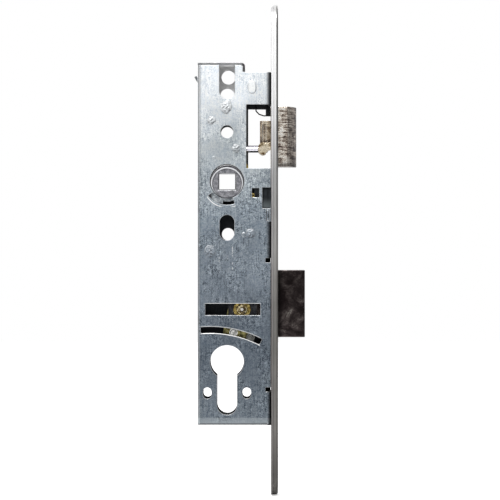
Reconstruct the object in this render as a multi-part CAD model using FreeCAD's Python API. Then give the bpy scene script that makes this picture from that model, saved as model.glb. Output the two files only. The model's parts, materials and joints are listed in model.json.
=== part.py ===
import FreeCAD, Part
import math
import os

# Mortise sashlock: forend, folded case, handle follower, bevelled latch, deadbolt and its key carriage.
# The origin is on the front face of the forend, half way along and across it.
# +X points out of the door edge, the way the bolts are thrown. -Y is the side of the folded case plate.

V = FreeCAD.Vector
os.makedirs("parts", exist_ok=True)

# Forend, the long face plate
forend_length = 251.0
forend_width = 20.0
forend_thickness = 3.5
forend_edge_radius = 1.0
forend_screw_inset = 10.0
forend_screw_radius = 2.6
forend_screw_head_radius = 4.9
forend_opening_corner = 1.0

# Case: two plates with folded walls between them
sheet = 1.2
case_thickness = 15.0
case_behind_spindle = 14.9
roof_rise = 60.4
step_drop = 4.8
case_tail = 32.1
bend_radius = 2.0
plate_to_forend_gap = 0.2
seat_gap = 0.05

# Main axes
backset = 26.0
spindle_height = 34.8
centres = 92.0
rod_rise = 16.8
handle_hole_rise = 25.3

# Spindle hub
spindle_square = 8.2
spindle_rim = 0.5
hub_radius = 8.6
hub_fit = 0.15
flange_radius = 9.2
lever_ring_radius = 9.6
stop_ring_radius = 10.2
flange_half_width = 2.2
hub_key_height = 0.45
hub_key_width = 3.0
lug_radius = 11.85
lug_slot_radius = 12.0
lug_start = 217.0
lug_end = 259.0
follower_turn = 29.0
lug_end_gap = 0.6
end_inset = 0.1

# Euro profile cylinder hole
cylinder_radius = 8.6
cylinder_slot_width = 10.1
cylinder_slot_drop = 26.9
cylinder_screw_drop = 20.5
cylinder_screw_radius = 2.75
cylinder_screw_head_radius = 4.65

# Latch
latch_width = 10.6
latch_height = 30.8
latch_drop = 9.3
latch_throw = 9.5
latch_flat = 4.8
latch_tip_thickness = 2.6
latch_neck_length = 5.5
neck_height = 23.5
latch_neck_width = 9.0
latch_clearance = 0.4
latch_seam_rise = 9.9
latch_seam = 0.3
latch_bevel_sag = 0.35
latch_edge_radius = 0.35
neck_root_drop = 0.4
neck_lobe_drop = 3.2
neck_lobe_swell = 1.1
neck_pocket_rim = 1.15
neck_pocket_depth = 1.6
neck_pocket_rise = 3.0
neck_pocket_corner = 0.9
neck_overlap = 0.5
rod_radius = 1.83
rod_end_radius = 1.5
rod_slide_fit = 0.1
rod_socket_depth = 4.0
rod_groove_depth = 0.35
collar_radius = 4.6
collar_thickness = 2.0
clip_radius = 3.0
clip_thickness = 0.6

# Levers on the hub that push the collar
lever_thickness = 1.95
lever_reach = 18.4
lever_lean = 3.4
lever_lobe_radius = 1.5
lever_neck = 2.4
lever_waist_left = 0.3
lever_corner = (10.9, 7.5)
lever_to_collar_gap = 0.2

# Deadbolt
bolt_width = 11.2
bolt_height = 34.2
bolt_rise = 12.6
bolt_throw = 13.7
bolt_tail_end = -25.4
bolt_rear = -11.0
bolt_clearance = 0.4
tail_plate = 1.5
tail_gap_half = 3.0
tail_above_stud = 16.4
tail_below_stud = 7.6
stud_x = -18.4
stud_rise = 26.8
stud_radius = 2.75
stud_inset = 0.25
bush_radius = 4.5
roller_radius = 4.2
roller_fit = 0.06

# Key carriage, which swings about the centre of the curved slots
swing_x = -34.6
slot_crest_rise = 16.4
slot_radius = 57.5
slot_width = 3.2
slot_left = -39.4
slot_right = -8.8
carriage_thickness = 3.2
carriage_stud_radius = 1.45
carriage_stud_shoulder = 0.7
carriage_stud_left = -22.7
carriage_stud_right = -14.0
fork_clearance = 0.2

# Return plunger of the follower
plunger_drop = 8.2
plunger_radius = 2.6
plunger_wall = 0.55
plunger_nose_round = 1.2
plunger_nose_wall = 1.4
plunger_fit = 0.15
nose_centre_radius = 11.4
nose_radius = 1.3
nose_angle = -62.0
plunger_gap = 0.3
plunger_end = -9.4
guide_rear = -12.0
guide_below = 5.6
guide_above = 5.3

# Springs
latch_spring_wire = 1.1
latch_spring_radius = 3.4
latch_spring_pitch = 1.6
latch_coil_start = -0.4
latch_leg_angle = 300.0
latch_anchor_leg = 13.0
latch_leg_knee = 7.9
latch_leg_ankle = 3.4
latch_leg_toe = 3.2
detent_wire = 1.2
detent_radius = 3.4
detent_pitch = 1.75
detent_coil_start = -1.25
detent_anchor_leg = 7.5
detent_dip = 0.9
detent_bend = 0.75
DETENT_TIP = ((1.15, 1.6), (1.15, 4.2))
return_wire = 0.6
return_radius = 1.6
return_turns = 8
keeper_wire = 0.65

# Pillars and pins between the plates: place across, and height from the rod, the spindle or the tail
upper_pillar_x = -26.6
upper_pillar_rise = 21.0
front_pillar_x = -13.9
front_pillar_drop = 26.4
rear_pillar_x = -34.8
rear_pillar_rise = 13.4
anchor_pin_x = -33.9
anchor_pin_rise = 14.4
rod_guide_x = -21.5
pillar_radius = 2.5
anchor_pin_radius = 0.75
stake_height = 0.3
stake_rim = 0.45
STAKE_RADII = {"upper_pillar": 2.3, "front_pillar": 1.7, "rear_pillar": 2.2, "anchor_pin": 1.4,
               "rod_guide": 1.6}
cover_screw_radius = 1.5
cover_screw_head_radius = 2.9
cover_screw_head_height = 0.8
cover_screw_depth = 7.0
cover_screw_length = 6.5
cover_screw_cross = (0.35, 1.5, 0.5)

# Values worked out from the sizes above
case_front = -forend_thickness
plate_front = case_front - plate_to_forend_gap
near_out = -case_thickness / 2
near_in = near_out + sheet
far_out = case_thickness / 2
far_in = far_out - sheet
axis_x = -backset
case_rear = axis_x - case_behind_spindle
cylinder_height = spindle_height - centres
rod_height = spindle_height + rod_rise
roof_top = spindle_height + roof_rise
step_top = roof_top - step_drop
roof_under = roof_top - sheet
plate_top = roof_under - seat_gap
case_bottom = cylinder_height - case_tail
cylinder_slot_bottom = cylinder_height - cylinder_slot_drop
latch_bottom = rod_height - latch_drop
latch_top = latch_bottom + latch_height
latch_neck_top = latch_bottom + neck_height
latch_seam_height = latch_bottom + latch_seam_rise
neck_bottom = rod_height - neck_root_drop
neck_lobe_bottom = rod_height - neck_lobe_drop
neck_pocket_bottom = rod_height + neck_pocket_rise
latch_half = latch_width / 2
latch_inner_end = case_front - plate_to_forend_gap
neck_rear = latch_inner_end - latch_neck_length
lean = math.radians(lever_lean)
lobe_x = lever_reach * math.sin(lean)
lobe_z = lever_reach * math.cos(lean)
collar_right = axis_x + lobe_x - lever_lobe_radius - lever_to_collar_gap
collar_left = collar_right - collar_thickness
clip_left = collar_left - clip_thickness
rod_left = clip_left - 0.5
bolt_bottom = cylinder_height + bolt_rise
bolt_top = bolt_bottom + bolt_height
stud_height = cylinder_height + stud_rise
tail_top = stud_height + tail_above_stud
tail_bottom = stud_height - tail_below_stud
swing_z = cylinder_height + slot_crest_rise - slot_radius
stud_distance = math.hypot(stud_x - swing_x, stud_height - swing_z)
stud_distance_back = math.hypot(stud_x - bolt_throw - swing_x, stud_height - swing_z)
bolt_half = bolt_width / 2
plunger_height = spindle_height - plunger_drop
guide_bottom = plunger_height - guide_below
guide_top = plunger_height + guide_above
plunger_left = (axis_x + nose_centre_radius * math.cos(math.radians(nose_angle)) + nose_radius
                + plunger_gap)
upper_pillar_at = (upper_pillar_x, rod_height + upper_pillar_rise)
front_pillar_at = (front_pillar_x, spindle_height - front_pillar_drop)
rear_pillar_at = (rear_pillar_x, tail_top + rear_pillar_rise)
anchor_pin_at = (anchor_pin_x, rod_height + anchor_pin_rise)
rod_guide_at = (rod_guide_x, rod_height)
STAKES = {
    "upper_pillar": upper_pillar_at,
    "front_pillar": front_pillar_at,
    "rear_pillar": rear_pillar_at,
    "anchor_pin": anchor_pin_at,
    "rod_guide": rod_guide_at,
}


def box(x0, x1, y0, y1, z0, z1):
    """A block between two corners."""
    return Part.makeBox(x1 - x0, y1 - y0, z1 - z0, V(x0, y0, z0))


def round_y(x, z, radius, y0, y1):
    """A round bar along Y."""
    return Part.makeCylinder(radius, y1 - y0, V(x, y0, z), V(0, 1, 0))


def round_x(y, z, radius, x0, x1):
    """A round bar along X."""
    return Part.makeCylinder(radius, x1 - x0, V(x0, y, z), V(1, 0, 0))


def cone_x(y, z, radius0, radius1, x0, x1):
    """A cone along X, from one radius to the other."""
    return Part.makeCone(radius0, radius1, x1 - x0, V(x0, y, z), V(1, 0, 0))


def wire_of(points):
    """A closed wire. A pair of points is an arc through the first to the second."""
    edges = []
    start = points[0]
    here = start
    for step in points[1:] + [start]:
        if isinstance(step, tuple):
            edges.append(Part.Arc(here, step[0], step[1]).toShape())
            here = step[1]
        elif here.distanceToPoint(step) > 1e-6:
            edges.append(Part.makeLine(here, step))
            here = step
    return Part.Wire(edges)


def side_point(x, z):
    """A point of an outline seen from the side."""
    return V(x, 0, z)


def prism_y(points, y0, y1):
    """An outline in X and Z, drawn out along Y."""
    face = Part.Face(wire_of(points))
    solid = face.extrude(V(0, y1 - y0, 0))
    solid.translate(V(0, y0, 0))
    return solid


def corners(pairs):
    """Outline points from pairs of X and Z."""
    return [side_point(x, z) for x, z in pairs]


def slot_z(x, z0, z1, width, y0, y1):
    """A slot along Z with round ends, cut along Y."""
    radius = width / 2
    body = box(x - radius, x + radius, y0, y1, z0 + radius, z1 - radius)
    ends = [round_y(x, z0 + radius, radius, y0, y1), round_y(x, z1 - radius, radius, y0, y1)]
    return body.fuse(ends).removeSplitter()


def polar(x, z, radius, degrees):
    """A point at a distance and an angle, counted from +X towards +Z."""
    turn = math.radians(degrees)
    return side_point(x + radius * math.cos(turn), z + radius * math.sin(turn))


def sector(x, z, inner, outer, start, end, y0, y1):
    """Part of a ring between two angles."""
    middle = (start + end) / 2
    points = [
        polar(x, z, inner, start),
        polar(x, z, outer, start),
        (polar(x, z, outer, middle), polar(x, z, outer, end)),
        polar(x, z, inner, end),
        (polar(x, z, inner, middle), polar(x, z, inner, start)),
    ]
    return prism_y(points, y0, y1)


def rounded(shape, radius, wanted):
    """The shape with the edges that the test picks rounded."""
    edges = [edge for edge in shape.Edges if wanted(edge)]
    return shape.makeFillet(radius, edges)


def bevelled(shape, size, wanted):
    """The shape with the edges that the test picks bevelled."""
    edges = [edge for edge in shape.Edges if wanted(edge)]
    return shape.makeChamfer(size, edges)


def flat_at(edge, axis, value):
    """Whether the whole edge lies in the plane where one coordinate has the value."""
    bounds = edge.BoundBox
    low, high = {
        "x": (bounds.XMin, bounds.XMax),
        "y": (bounds.YMin, bounds.YMax),
        "z": (bounds.ZMin, bounds.ZMax),
    }[axis]
    return abs(low - value) < 1e-3 and abs(high - value) < 1e-3


def save(name, shape):
    """Write one piece and print its size."""
    shape.exportStep("parts/" + name + ".step")
    print(name, len(shape.Solids), "solids", round(shape.Volume, 2), "mm3", shape.isValid())


def biarc(start, start_way, end, end_way):
    """Two arcs that join two points and leave each along its direction."""
    across = end - start
    ways = start_way + end_way
    a = 2 * (1 - start_way.dot(end_way))
    b = 2 * across.dot(ways)
    c = -across.dot(across)
    reach = -c / b if abs(a) < 1e-9 else (-b + math.sqrt(b * b - 4 * a * c)) / (2 * a)
    first = start + start_way * reach
    second = end - end_way * reach
    join = (first + second) * 0.5
    return [arc_by_tangent(start, first, join), arc_by_tangent(join, second, end)]


def arc_by_tangent(start, corner, end):
    """The arc from start to end whose end tangents meet at the corner."""
    middle = (start + end) * 0.5
    half = start.distanceToPoint(end) / 2
    rise = corner - middle
    if rise.Length < 1e-7:
        return Part.makeLine(start, end)
    angle = math.atan2(rise.Length, half)
    top = middle + rise.normalize() * (half * math.tan(angle / 2))
    return Part.Arc(start, top, end).toShape()


def helix_edges(centre, radius, pitch, start, turn, quarter_turns):
    """A helix along Y as biarcs of a quarter turn. The turn is +1 or -1, seen from the -Y side."""
    def place(step):
        angle = math.radians(start) + turn * step * math.pi / 2
        return V(centre.x + radius * math.cos(angle), centre.y + pitch * step / 4,
                 centre.z + radius * math.sin(angle))

    def way(step):
        angle = math.radians(start) + turn * step * math.pi / 2
        rise = pitch / (2 * math.pi)
        return V(-turn * radius * math.sin(angle), rise, turn * radius * math.cos(angle)).normalize()

    edges = []
    whole = int(quarter_turns)
    steps = [float(n) for n in range(whole + 1)]
    if quarter_turns - whole > 1e-6:
        steps.append(quarter_turns)
    for first, second in zip(steps, steps[1:]):
        edges += biarc(place(first), way(first), place(second), way(second))
    return edges, place(0), way(0), place(quarter_turns), way(quarter_turns)


def swept_wire(edges, radius):
    """A round wire along a smooth path."""
    path = Part.Wire(edges)
    first = edges[0]
    way = first.tangentAt(first.FirstParameter)
    profile = Part.Wire(Part.makeCircle(radius, first.Vertexes[0].Point, way))
    return path.makePipeShell([profile], True, False)


def rounded_path(points, radius):
    """Straight runs through the points, with an arc of the radius at each corner."""
    edges = []
    here = points[0]
    for before, corner, after in zip(points, points[1:], points[2:]):
        back = (before - corner).normalize()
        on = (after - corner).normalize()
        half = math.acos(max(-1, min(1, back.dot(on)))) / 2
        reach = radius / math.tan(half)
        leave = corner + back * reach
        meet = corner + on * reach
        edges.append(Part.makeLine(here, leave))
        edges.append(arc_by_tangent(leave, corner, meet))
        here = meet
    edges.append(Part.makeLine(here, points[-1]))
    return edges


# Cut-outs that both case plates share

through = 3.0
handle_hole_height = spindle_height + handle_hole_rise
handle_hole_radius = 3.25
lower_slot_width = 7.45
lower_slot_length = 12.95
lower_slot_drop = 17.05
lower_slot_top = spindle_height - lower_slot_drop
lower_slot_bottom = lower_slot_top - lower_slot_length
bolt_window_left = -37.1
bolt_window_right = -9.05
bolt_window_height = 5.9
fixing_hole_width = 4.3
fixing_hole_height = 5.7
fixing_hole_offset = 10.05
fixing_hole_drop = 15.8
fixing_hole_z = cylinder_height - fixing_hole_drop
fork_angle = math.degrees(math.atan2(stud_x - swing_x, stud_height - swing_z))


def swing_angle(x, radius):
    """The angle from +X, seen from the swing centre, of a point at that distance and place across."""
    return math.degrees(math.acos((x - swing_x) / radius))


def curved_slot(y0, y1):
    """The curved slot that guides the studs of the key carriage."""
    half = slot_width / 2
    start = swing_angle(slot_right, slot_radius)
    end = swing_angle(slot_left, slot_radius)
    slot = sector(swing_x, swing_z, slot_radius - half, slot_radius + half, start, end, y0, y1)
    return rounded(slot, 0.7, lambda e: e.BoundBox.YLength > (y1 - y0) - 1e-3)


def cylinder_hole(y0, y1):
    """The euro profile hole."""
    radius = cylinder_slot_width / 2
    body = box(axis_x - radius, axis_x + radius, y0, y1, cylinder_slot_bottom + radius, cylinder_height)
    end = round_y(axis_x, cylinder_slot_bottom + radius, radius, y0, y1)
    return body.fuse([end, round_y(axis_x, cylinder_height, cylinder_radius, y0, y1)])


def shared_cuts(y0, y1):
    """What both plates are cut with."""
    return [
        round_y(axis_x, handle_hole_height, handle_hole_radius, y0, y1),
        round_y(axis_x, spindle_height, hub_radius + hub_fit, y0, y1),
        cylinder_hole(y0, y1),
        slot_z(axis_x - fixing_hole_offset, fixing_hole_z - fixing_hole_height / 2,
               fixing_hole_z + fixing_hole_height / 2, fixing_hole_width, y0, y1),
        slot_z(axis_x + fixing_hole_offset, fixing_hole_z - fixing_hole_height / 2,
               fixing_hole_z + fixing_hole_height / 2, fixing_hole_width, y0, y1),
    ]


# Case body

window_left = -16.2
window_below_latch = 0.8
window_above_latch = 0.9
window_bottom = latch_bottom - window_below_latch
window_top = latch_top + window_above_latch
middle_tab_drop = 20.6
middle_tab_length = 18.4
lower_tab_drop = 15.1
upper_tab = (window_top, step_top)
middle_tab_top = spindle_height - middle_tab_drop
middle_tab = (middle_tab_top - middle_tab_length, middle_tab_top)
lower_tab = (case_bottom, cylinder_height - lower_tab_drop)
relief_depth = 2.9
relief_height = 2.3
tab_reach = far_in - 0.3
roof_end = -16.8
hook_room = 0.5
hook_drop = 4.6
hook_bottom = roof_top - hook_drop
top_slot_width = 7.9
top_slot_drop = 18.4
top_slot_bottom = roof_top - top_slot_drop
square_hole_left = -13.3
square_hole_right = -9.6
square_hole_bottom = plunger_height + 0.1
square_hole_top = plunger_height + 4.8
notch_left = -8.0
notch_bottom = guide_bottom
notch_top = guide_top - 0.2
tongue_left = -5.9
tongue_length = 5.3
tongue_below_guide = 0.8
tongue_top = guide_bottom - tongue_below_guide
tongue_bottom = tongue_top - tongue_length
tongue_fit = 0.1
tongue_proud = 0.1
cut_over = 0.4
bump_x = -13.3
bump_drop = 7.7
bump_at = (bump_x, step_top - bump_drop)
bump_width = 4.2
bump_length = 6.5
bump_height = 0.5
rear_mark_x = -32.8
rear_mark_rise = 11.9
rear_mark_radius = 0.8
front_mark_x = -17.3
front_mark_drop = 27.2
front_mark_radius = 1.1
SMALL_BUMPS = (
    (rear_mark_x, spindle_height + rear_mark_rise, rear_mark_radius),
    (front_mark_x, spindle_height - front_mark_drop, front_mark_radius),
)
small_bump_height = 0.18
barb_drop = 10.0
barb_root = roof_top - barb_drop
barb_length = 4.0
barb_width = 4.4
barb_tilt = 30.0
upper_screw_drop = 8.2
case_screw_heights = (step_top - upper_screw_drop, middle_tab_top - middle_tab_length / 2)
case_screw_radius = 2.0
case_screw_head_radius = 3.7
case_screw_cross = (0.45, 1.7, 1.3)
case_screw_tip = 0.8
case_collar_radius = 3.3
case_collar_length = 1.6
wall_tongue_rises = (5.2, 32.2)
wall_tongues = (spindle_height + wall_tongue_rises[0], cylinder_height + wall_tongue_rises[1])
bottom_tongue_x = -24.0
wall_tongue_length = 7.0


def front_tab(z0, z1):
    """A bend of the near plate and the front wall that it carries."""
    centre_x = case_front - bend_radius
    centre_y = near_out + bend_radius
    inner = bend_radius - sheet
    slant = math.sqrt(0.5)
    points = [
        V(centre_x, near_out, z0),
        (V(centre_x + bend_radius * slant, centre_y - bend_radius * slant, z0), V(case_front, centre_y, z0)),
        V(case_front, tab_reach, z0),
        V(case_front - sheet, tab_reach, z0),
        V(case_front - sheet, centre_y, z0),
        (V(centre_x + inner * slant, centre_y - inner * slant, z0), V(centre_x, near_in, z0)),
    ]
    return Part.Face(wire_of(points)).extrude(V(0, 0, z1 - z0))


def make_case_body():
    """The near plate with its folded rear wall, bottom wall and front tabs."""
    outer = box(case_rear, plate_front, near_out, far_in, case_bottom, plate_top)
    outer = rounded(outer, bend_radius, lambda e: flat_at(e, "y", near_out)
                    and (flat_at(e, "x", case_rear) or flat_at(e, "z", case_bottom)))
    inner = box(case_rear + sheet, 0, near_in, far_in + through, case_bottom + sheet, plate_top + through)
    inner = rounded(inner, bend_radius - sheet, lambda e: flat_at(e, "y", near_in)
                    and (flat_at(e, "x", case_rear + sheet) or flat_at(e, "z", case_bottom + sheet)))
    body = outer.cut(inner)
    y0 = near_out - through
    y1 = near_in + cut_over
    step_left = roof_end - sheet - seat_gap
    lower_low, lower_high = lower_tab
    bend_start = case_front - bend_radius
    cuts = shared_cuts(y0, y1)
    cuts += [
        slot_z(axis_x, lower_slot_bottom, lower_slot_top, lower_slot_width, y0, y1),
        box(bolt_window_left, bolt_window_right, y0, y1,
            stud_height - bolt_window_height / 2, stud_height + bolt_window_height / 2),
        curved_slot(y0, y1),
        box(step_left, 0, y0, far_out, step_top, roof_top),
        box(step_left - hook_room, 0, y0, far_out, plate_top - hook_room, roof_top),
        slot_z(axis_x, top_slot_bottom, roof_top + top_slot_width, top_slot_width, y0, y1),
        box(window_left, 0, y0, y1, window_bottom, window_top),
        box(square_hole_left, square_hole_right, y0, y1, square_hole_bottom, square_hole_top),
        box(notch_left, 0, y0, y1, notch_bottom, notch_top),
        box(tongue_left - tongue_fit, tongue_left + sheet + tongue_fit, y0, y1,
            tongue_bottom - tongue_fit, tongue_top + tongue_fit),
        sector(axis_x, spindle_height, hub_radius, lug_slot_radius, lug_start,
               lug_end + follower_turn + 2 * lug_end_gap, y0, y1),
        box(bend_start, 0, y0, y1, upper_tab[0], upper_tab[1] + through),
        box(bend_start, 0, y0, y1, middle_tab[0], middle_tab[1]),
        box(bend_start, 0, y0, far_out, lower_low - through, lower_high),
        box(case_front - relief_depth, 0, y0, y1, middle_tab[0] - relief_height, middle_tab[0]),
        box(case_front - relief_depth, 0, y0, y1, lower_high, lower_high + relief_height),
    ]
    body = body.cut(cuts)
    body = body.fuse([front_tab(*upper_tab), front_tab(*middle_tab), front_tab(*lower_tab)])
    collars = [round_x(0, z, case_collar_radius, case_front - sheet - case_collar_length, case_front - sheet)
               for z in case_screw_heights]
    body = body.fuse(collars)
    holes = [round_x(0, z, case_screw_radius + seat_gap, case_front - through * 2, 0)
             for z in case_screw_heights]
    holes.append(round_x(0, cylinder_height - cylinder_screw_drop, cylinder_screw_radius,
                         case_front - through, 0))
    holes += [round_y(x, z, STAKE_RADII[name] + seat_gap, y0, y1) for name, (x, z) in STAKES.items()]
    barb_half = barb_width / 2
    holes.append(box(case_rear - through, case_rear + sheet + 0.01, -barb_half, barb_half,
                     barb_root, barb_root + barb_length))
    body = body.cut(holes)
    return body.fuse([make_barb(), make_bump(), small_bump(*SMALL_BUMPS[0]), small_bump(*SMALL_BUMPS[1])]
                     + make_wall_tongues()).removeSplitter()


def make_barb():
    """The lanced barb that springs out of the rear wall."""
    tilt = math.radians(barb_tilt)
    way = V(-math.sin(tilt), 0, math.cos(tilt))
    side = V(math.cos(tilt), 0, math.sin(tilt))
    root = V(case_rear + sheet - sheet * math.cos(tilt), 0, barb_root - sheet * math.sin(tilt) / 2)
    points = [root, root + way * barb_length, root + way * barb_length + side * sheet, root + side * sheet]
    barb = prism_y(points, -barb_width / 2, barb_width / 2)
    foot = box(case_rear, case_rear + sheet, -barb_width / 2, barb_width / 2, barb_root - sheet, barb_root)
    return barb.fuse(foot)


def make_bump():
    """The oblong bump pressed out of the near plate above the window."""
    x, z = bump_at
    low = z - bump_length / 2
    high = z + bump_length / 2
    outside = slot_z(x, low, high, bump_width, near_out - bump_height, near_in)
    outside = rounded(outside, bump_height - 0.1, lambda e: flat_at(e, "y", near_out - bump_height))
    inset = 0.8
    inside = slot_z(x, low + inset, high - inset, bump_width - 2 * inset, near_in - bump_height, near_in + 1)
    return outside.cut(inside)


def small_bump(x, z, radius):
    """A small round press mark on the near plate."""
    bump = round_y(x, z, radius, near_out - small_bump_height, near_in)
    return rounded(bump, small_bump_height * 0.8, lambda e: flat_at(e, "y", near_out - small_bump_height))


def make_wall_tongues():
    """Short tongues of the rear and bottom walls that lock into notches of the cover."""
    half = wall_tongue_length / 2
    tongues = [box(case_rear, case_rear + sheet, far_in, far_out, z - half, z + half) for z in wall_tongues]
    tongues.append(box(bottom_tongue_x - half, bottom_tongue_x + half, far_in, far_out,
                       case_bottom, case_bottom + sheet))
    return tongues


# Case cover

far_window_left = -15.2
far_window_drop = 1.6
far_window_top = window_top - far_window_drop
far_tab_left = -6.2
far_tab_drop = 5.1
far_tab_bottom = window_top - far_tab_drop
far_upper_x = -25.4
far_upper_drop = 6.3
far_upper_radius = 3.6
far_lower_x = -25.9
far_lower_drop = 15.7
far_lower_radius = 3.7
far_middle_x = -25.6
far_middle_drop = 26.8
far_middle_radius = 3.2
FAR_HOLES = (
    (far_upper_x, roof_top - far_upper_drop, far_upper_radius),
    (far_lower_x, roof_top - far_lower_drop, far_lower_radius),
    (far_middle_x, spindle_height - far_middle_drop, far_middle_radius),
)
hook_radius = 1.9


def make_case_cover():
    """The far plate, its roof with the hooked end, and the tongue that is peened over."""
    plate = box(case_rear, plate_front, far_in, far_out, case_bottom, roof_top)
    plate = rounded(plate, sheet * 0.9, lambda e: flat_at(e, "y", far_out) and flat_at(e, "z", roof_top))
    step_left = roof_end - sheet - seat_gap
    hook_inner = hook_radius - sheet
    slant = math.sqrt(0.5)
    bend_x = roof_end - hook_radius
    bend_z = roof_top - hook_radius
    roof = prism_y([
        side_point(case_rear, roof_top),
        side_point(bend_x, roof_top),
        (side_point(bend_x + hook_radius * slant, bend_z + hook_radius * slant), side_point(roof_end, bend_z)),
        side_point(roof_end, hook_bottom),
        side_point(roof_end - sheet, hook_bottom),
        side_point(roof_end - sheet, bend_z),
        (side_point(bend_x + hook_inner * slant, bend_z + hook_inner * slant), side_point(bend_x, roof_under)),
        side_point(case_rear, roof_under),
    ], near_out, far_in)
    y0 = far_in - cut_over
    y1 = far_out + through
    half = wall_tongue_length / 2 + tongue_fit
    cuts = shared_cuts(far_in - through, y1)
    cuts += [
        box(step_left, 0, y0, y1, step_top, roof_top + through),
        box(far_window_left, far_tab_left, y0, y1, window_bottom, far_window_top),
        box(far_tab_left - seat_gap, 0, y0, y1, window_bottom, far_tab_bottom),
        box(bottom_tongue_x - half, bottom_tongue_x + half, y0, y1,
            case_bottom - through, case_bottom + sheet + tongue_fit),
        slot_z(keeper_anchor_x, keeper_anchor_z - keeper_bend, keeper_anchor_z + keeper_wire / 2 + seat_gap,
               keeper_wire + 2 * seat_gap, y0, y1),
    ]
    cuts += [round_y(x, z, radius, y0, y1) for x, z, radius in FAR_HOLES]
    cuts += [box(case_rear - through, case_rear + sheet + tongue_fit, y0, y1, z - half, z + half)
             for z in wall_tongues]
    cuts += [round_y(x, z, cover_screw_radius + tongue_fit, y0, y1)
             for x, z in (upper_pillar_at, front_pillar_at, rear_pillar_at)]
    plate = plate.cut(cuts)
    tip = near_out - tongue_proud
    tongue = box(tongue_left, tongue_left + sheet, tip, far_out, tongue_bottom, tongue_top)
    tongue = rounded(tongue, 0.3, lambda e: flat_at(e, "y", tip))
    return plate.fuse([roof, tongue]).removeSplitter()


# Fine wire that keeps the latch from falling out through the window

keeper_anchor_x = -11.2
keeper_anchor_rise = 3.0
keeper_anchor_z = window_top + keeper_anchor_rise
keeper_bend = 0.75
keeper_turn_drop = 2.4
KEEPER_CURVE = ((1.6, 4.1), (4.1, 4.9), (6.6, 4.7))


def make_keeper_wire():
    """A fine wire hooked through the cover, curving down to the tab beside the latch."""
    y = far_in - keeper_wire / 2 - seat_gap
    points = [
        V(keeper_anchor_x, far_out - 0.2, keeper_anchor_z),
        V(keeper_anchor_x, y, keeper_anchor_z),
        V(keeper_anchor_x, y, window_top - keeper_turn_drop),
    ]
    points += [V(keeper_anchor_x + aside, y, window_top - drop) for aside, drop in KEEPER_CURVE]
    return swept_wire(rounded_path(points, keeper_bend), keeper_wire / 2)


# Forend

def make_forend():
    """The face plate with its openings and countersunk holes."""
    half_width = forend_width / 2
    end_centre = forend_length / 2 - half_width
    plate = box(case_front, 0, -half_width, half_width, -end_centre, end_centre)
    plate = plate.fuse([round_x(0, end_centre, half_width, case_front, 0),
                        round_x(0, -end_centre, half_width, case_front, 0)]).removeSplitter()
    plate = rounded(plate, forend_edge_radius, lambda e: flat_at(e, "x", 0))
    latch_hole = box(case_front - 1, 1, -latch_half - latch_clearance, latch_half + latch_clearance,
                     latch_bottom - latch_clearance, latch_top + latch_clearance)
    bolt_hole = box(case_front - 1, 1, -bolt_half - bolt_clearance, bolt_half + bolt_clearance,
                    bolt_bottom - bolt_clearance, bolt_top + bolt_clearance)
    cuts = []
    for hole in (latch_hole, bolt_hole):
        cuts.append(rounded(hole, forend_opening_corner, lambda e: e.BoundBox.XLength > 1))
    for z in (forend_length / 2 - forend_screw_inset, forend_screw_inset - forend_length / 2):
        cuts += countersink(z, forend_screw_radius, forend_screw_head_radius)
    for z in case_screw_heights:
        cuts += countersink(z, case_screw_radius + seat_gap, case_screw_head_radius + seat_gap)
    cuts += countersink(cylinder_height - cylinder_screw_drop, cylinder_screw_radius,
                        cylinder_screw_head_radius)
    return plate.cut(cuts)


def countersink(z, radius, head_radius):
    """A hole through the forend with a 90 degree countersink at its front."""
    depth = head_radius - radius
    return [round_x(0, z, radius, case_front - 1, 1), cone_x(0, z, radius, head_radius, -depth, 0)]


def make_forend_screws():
    """Countersunk screws that hold the forend to the front tabs."""
    screws = []
    for z in case_screw_heights:
        depth = case_screw_head_radius - case_screw_radius
        tip = case_front - sheet - case_collar_length - case_screw_tip
        screw = round_x(0, z, case_screw_radius, tip, 0)
        screw = screw.fuse(cone_x(0, z, case_screw_radius, case_screw_head_radius, -depth, 0))
        arm, reach, drive_depth = case_screw_cross
        cross = [box(-drive_depth, 1, -arm, arm, z - reach, z + reach),
                 box(-drive_depth, 1, -reach, reach, z - arm, z + arm)]
        screws.append(screw.removeSplitter().cut(cross))
    return Part.makeCompound(screws)


# Pillars, pins and the guide of the rod

def pillar(name, place, radius, tapped):
    """A pillar between the plates, staked through the near plate and tapped for a cover screw."""
    x, z = place
    nib = STAKE_RADII[name]
    body = round_y(x, z, radius, near_in, far_in)
    stake = round_y(x, z, nib, near_out, near_in + 0.2)
    head = round_y(x, z, nib + stake_rim, near_out - stake_height, near_out)
    head = rounded(head, stake_height * 0.8, lambda e: flat_at(e, "y", near_out - stake_height))
    shape = body.fuse([stake, head]).removeSplitter()
    if tapped:
        shape = shape.cut(round_y(x, z, cover_screw_radius + seat_gap, far_in - cover_screw_depth, far_in + 1))
    return shape


def make_cover_screws():
    """Low-headed screws that hold the cover to the pillars."""
    screws = []
    for x, z in (upper_pillar_at, front_pillar_at, rear_pillar_at):
        head_top = far_out + cover_screw_head_height
        shank = round_y(x, z, cover_screw_radius, far_in - cover_screw_length, far_out)
        head = round_y(x, z, cover_screw_head_radius, far_out, head_top)
        head = rounded(head, 0.35, lambda e: flat_at(e, "y", head_top))
        arm, reach, depth = cover_screw_cross
        cross = [box(x - arm, x + arm, head_top - depth, head_top + 1, z - reach, z + reach),
                 box(x - reach, x + reach, head_top - depth, head_top + 1, z - arm, z + arm)]
        screws.append(shank.fuse(head).removeSplitter().cut(cross))
    return Part.makeCompound(screws)


rod_guide_width = 2.4
rod_guide_below = 2.6
rod_guide_above = 2.8
rod_guide_bottom = rod_height - rod_guide_below
rod_guide_top = rod_height + rod_guide_above
rod_guide_far = 3.4


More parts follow.
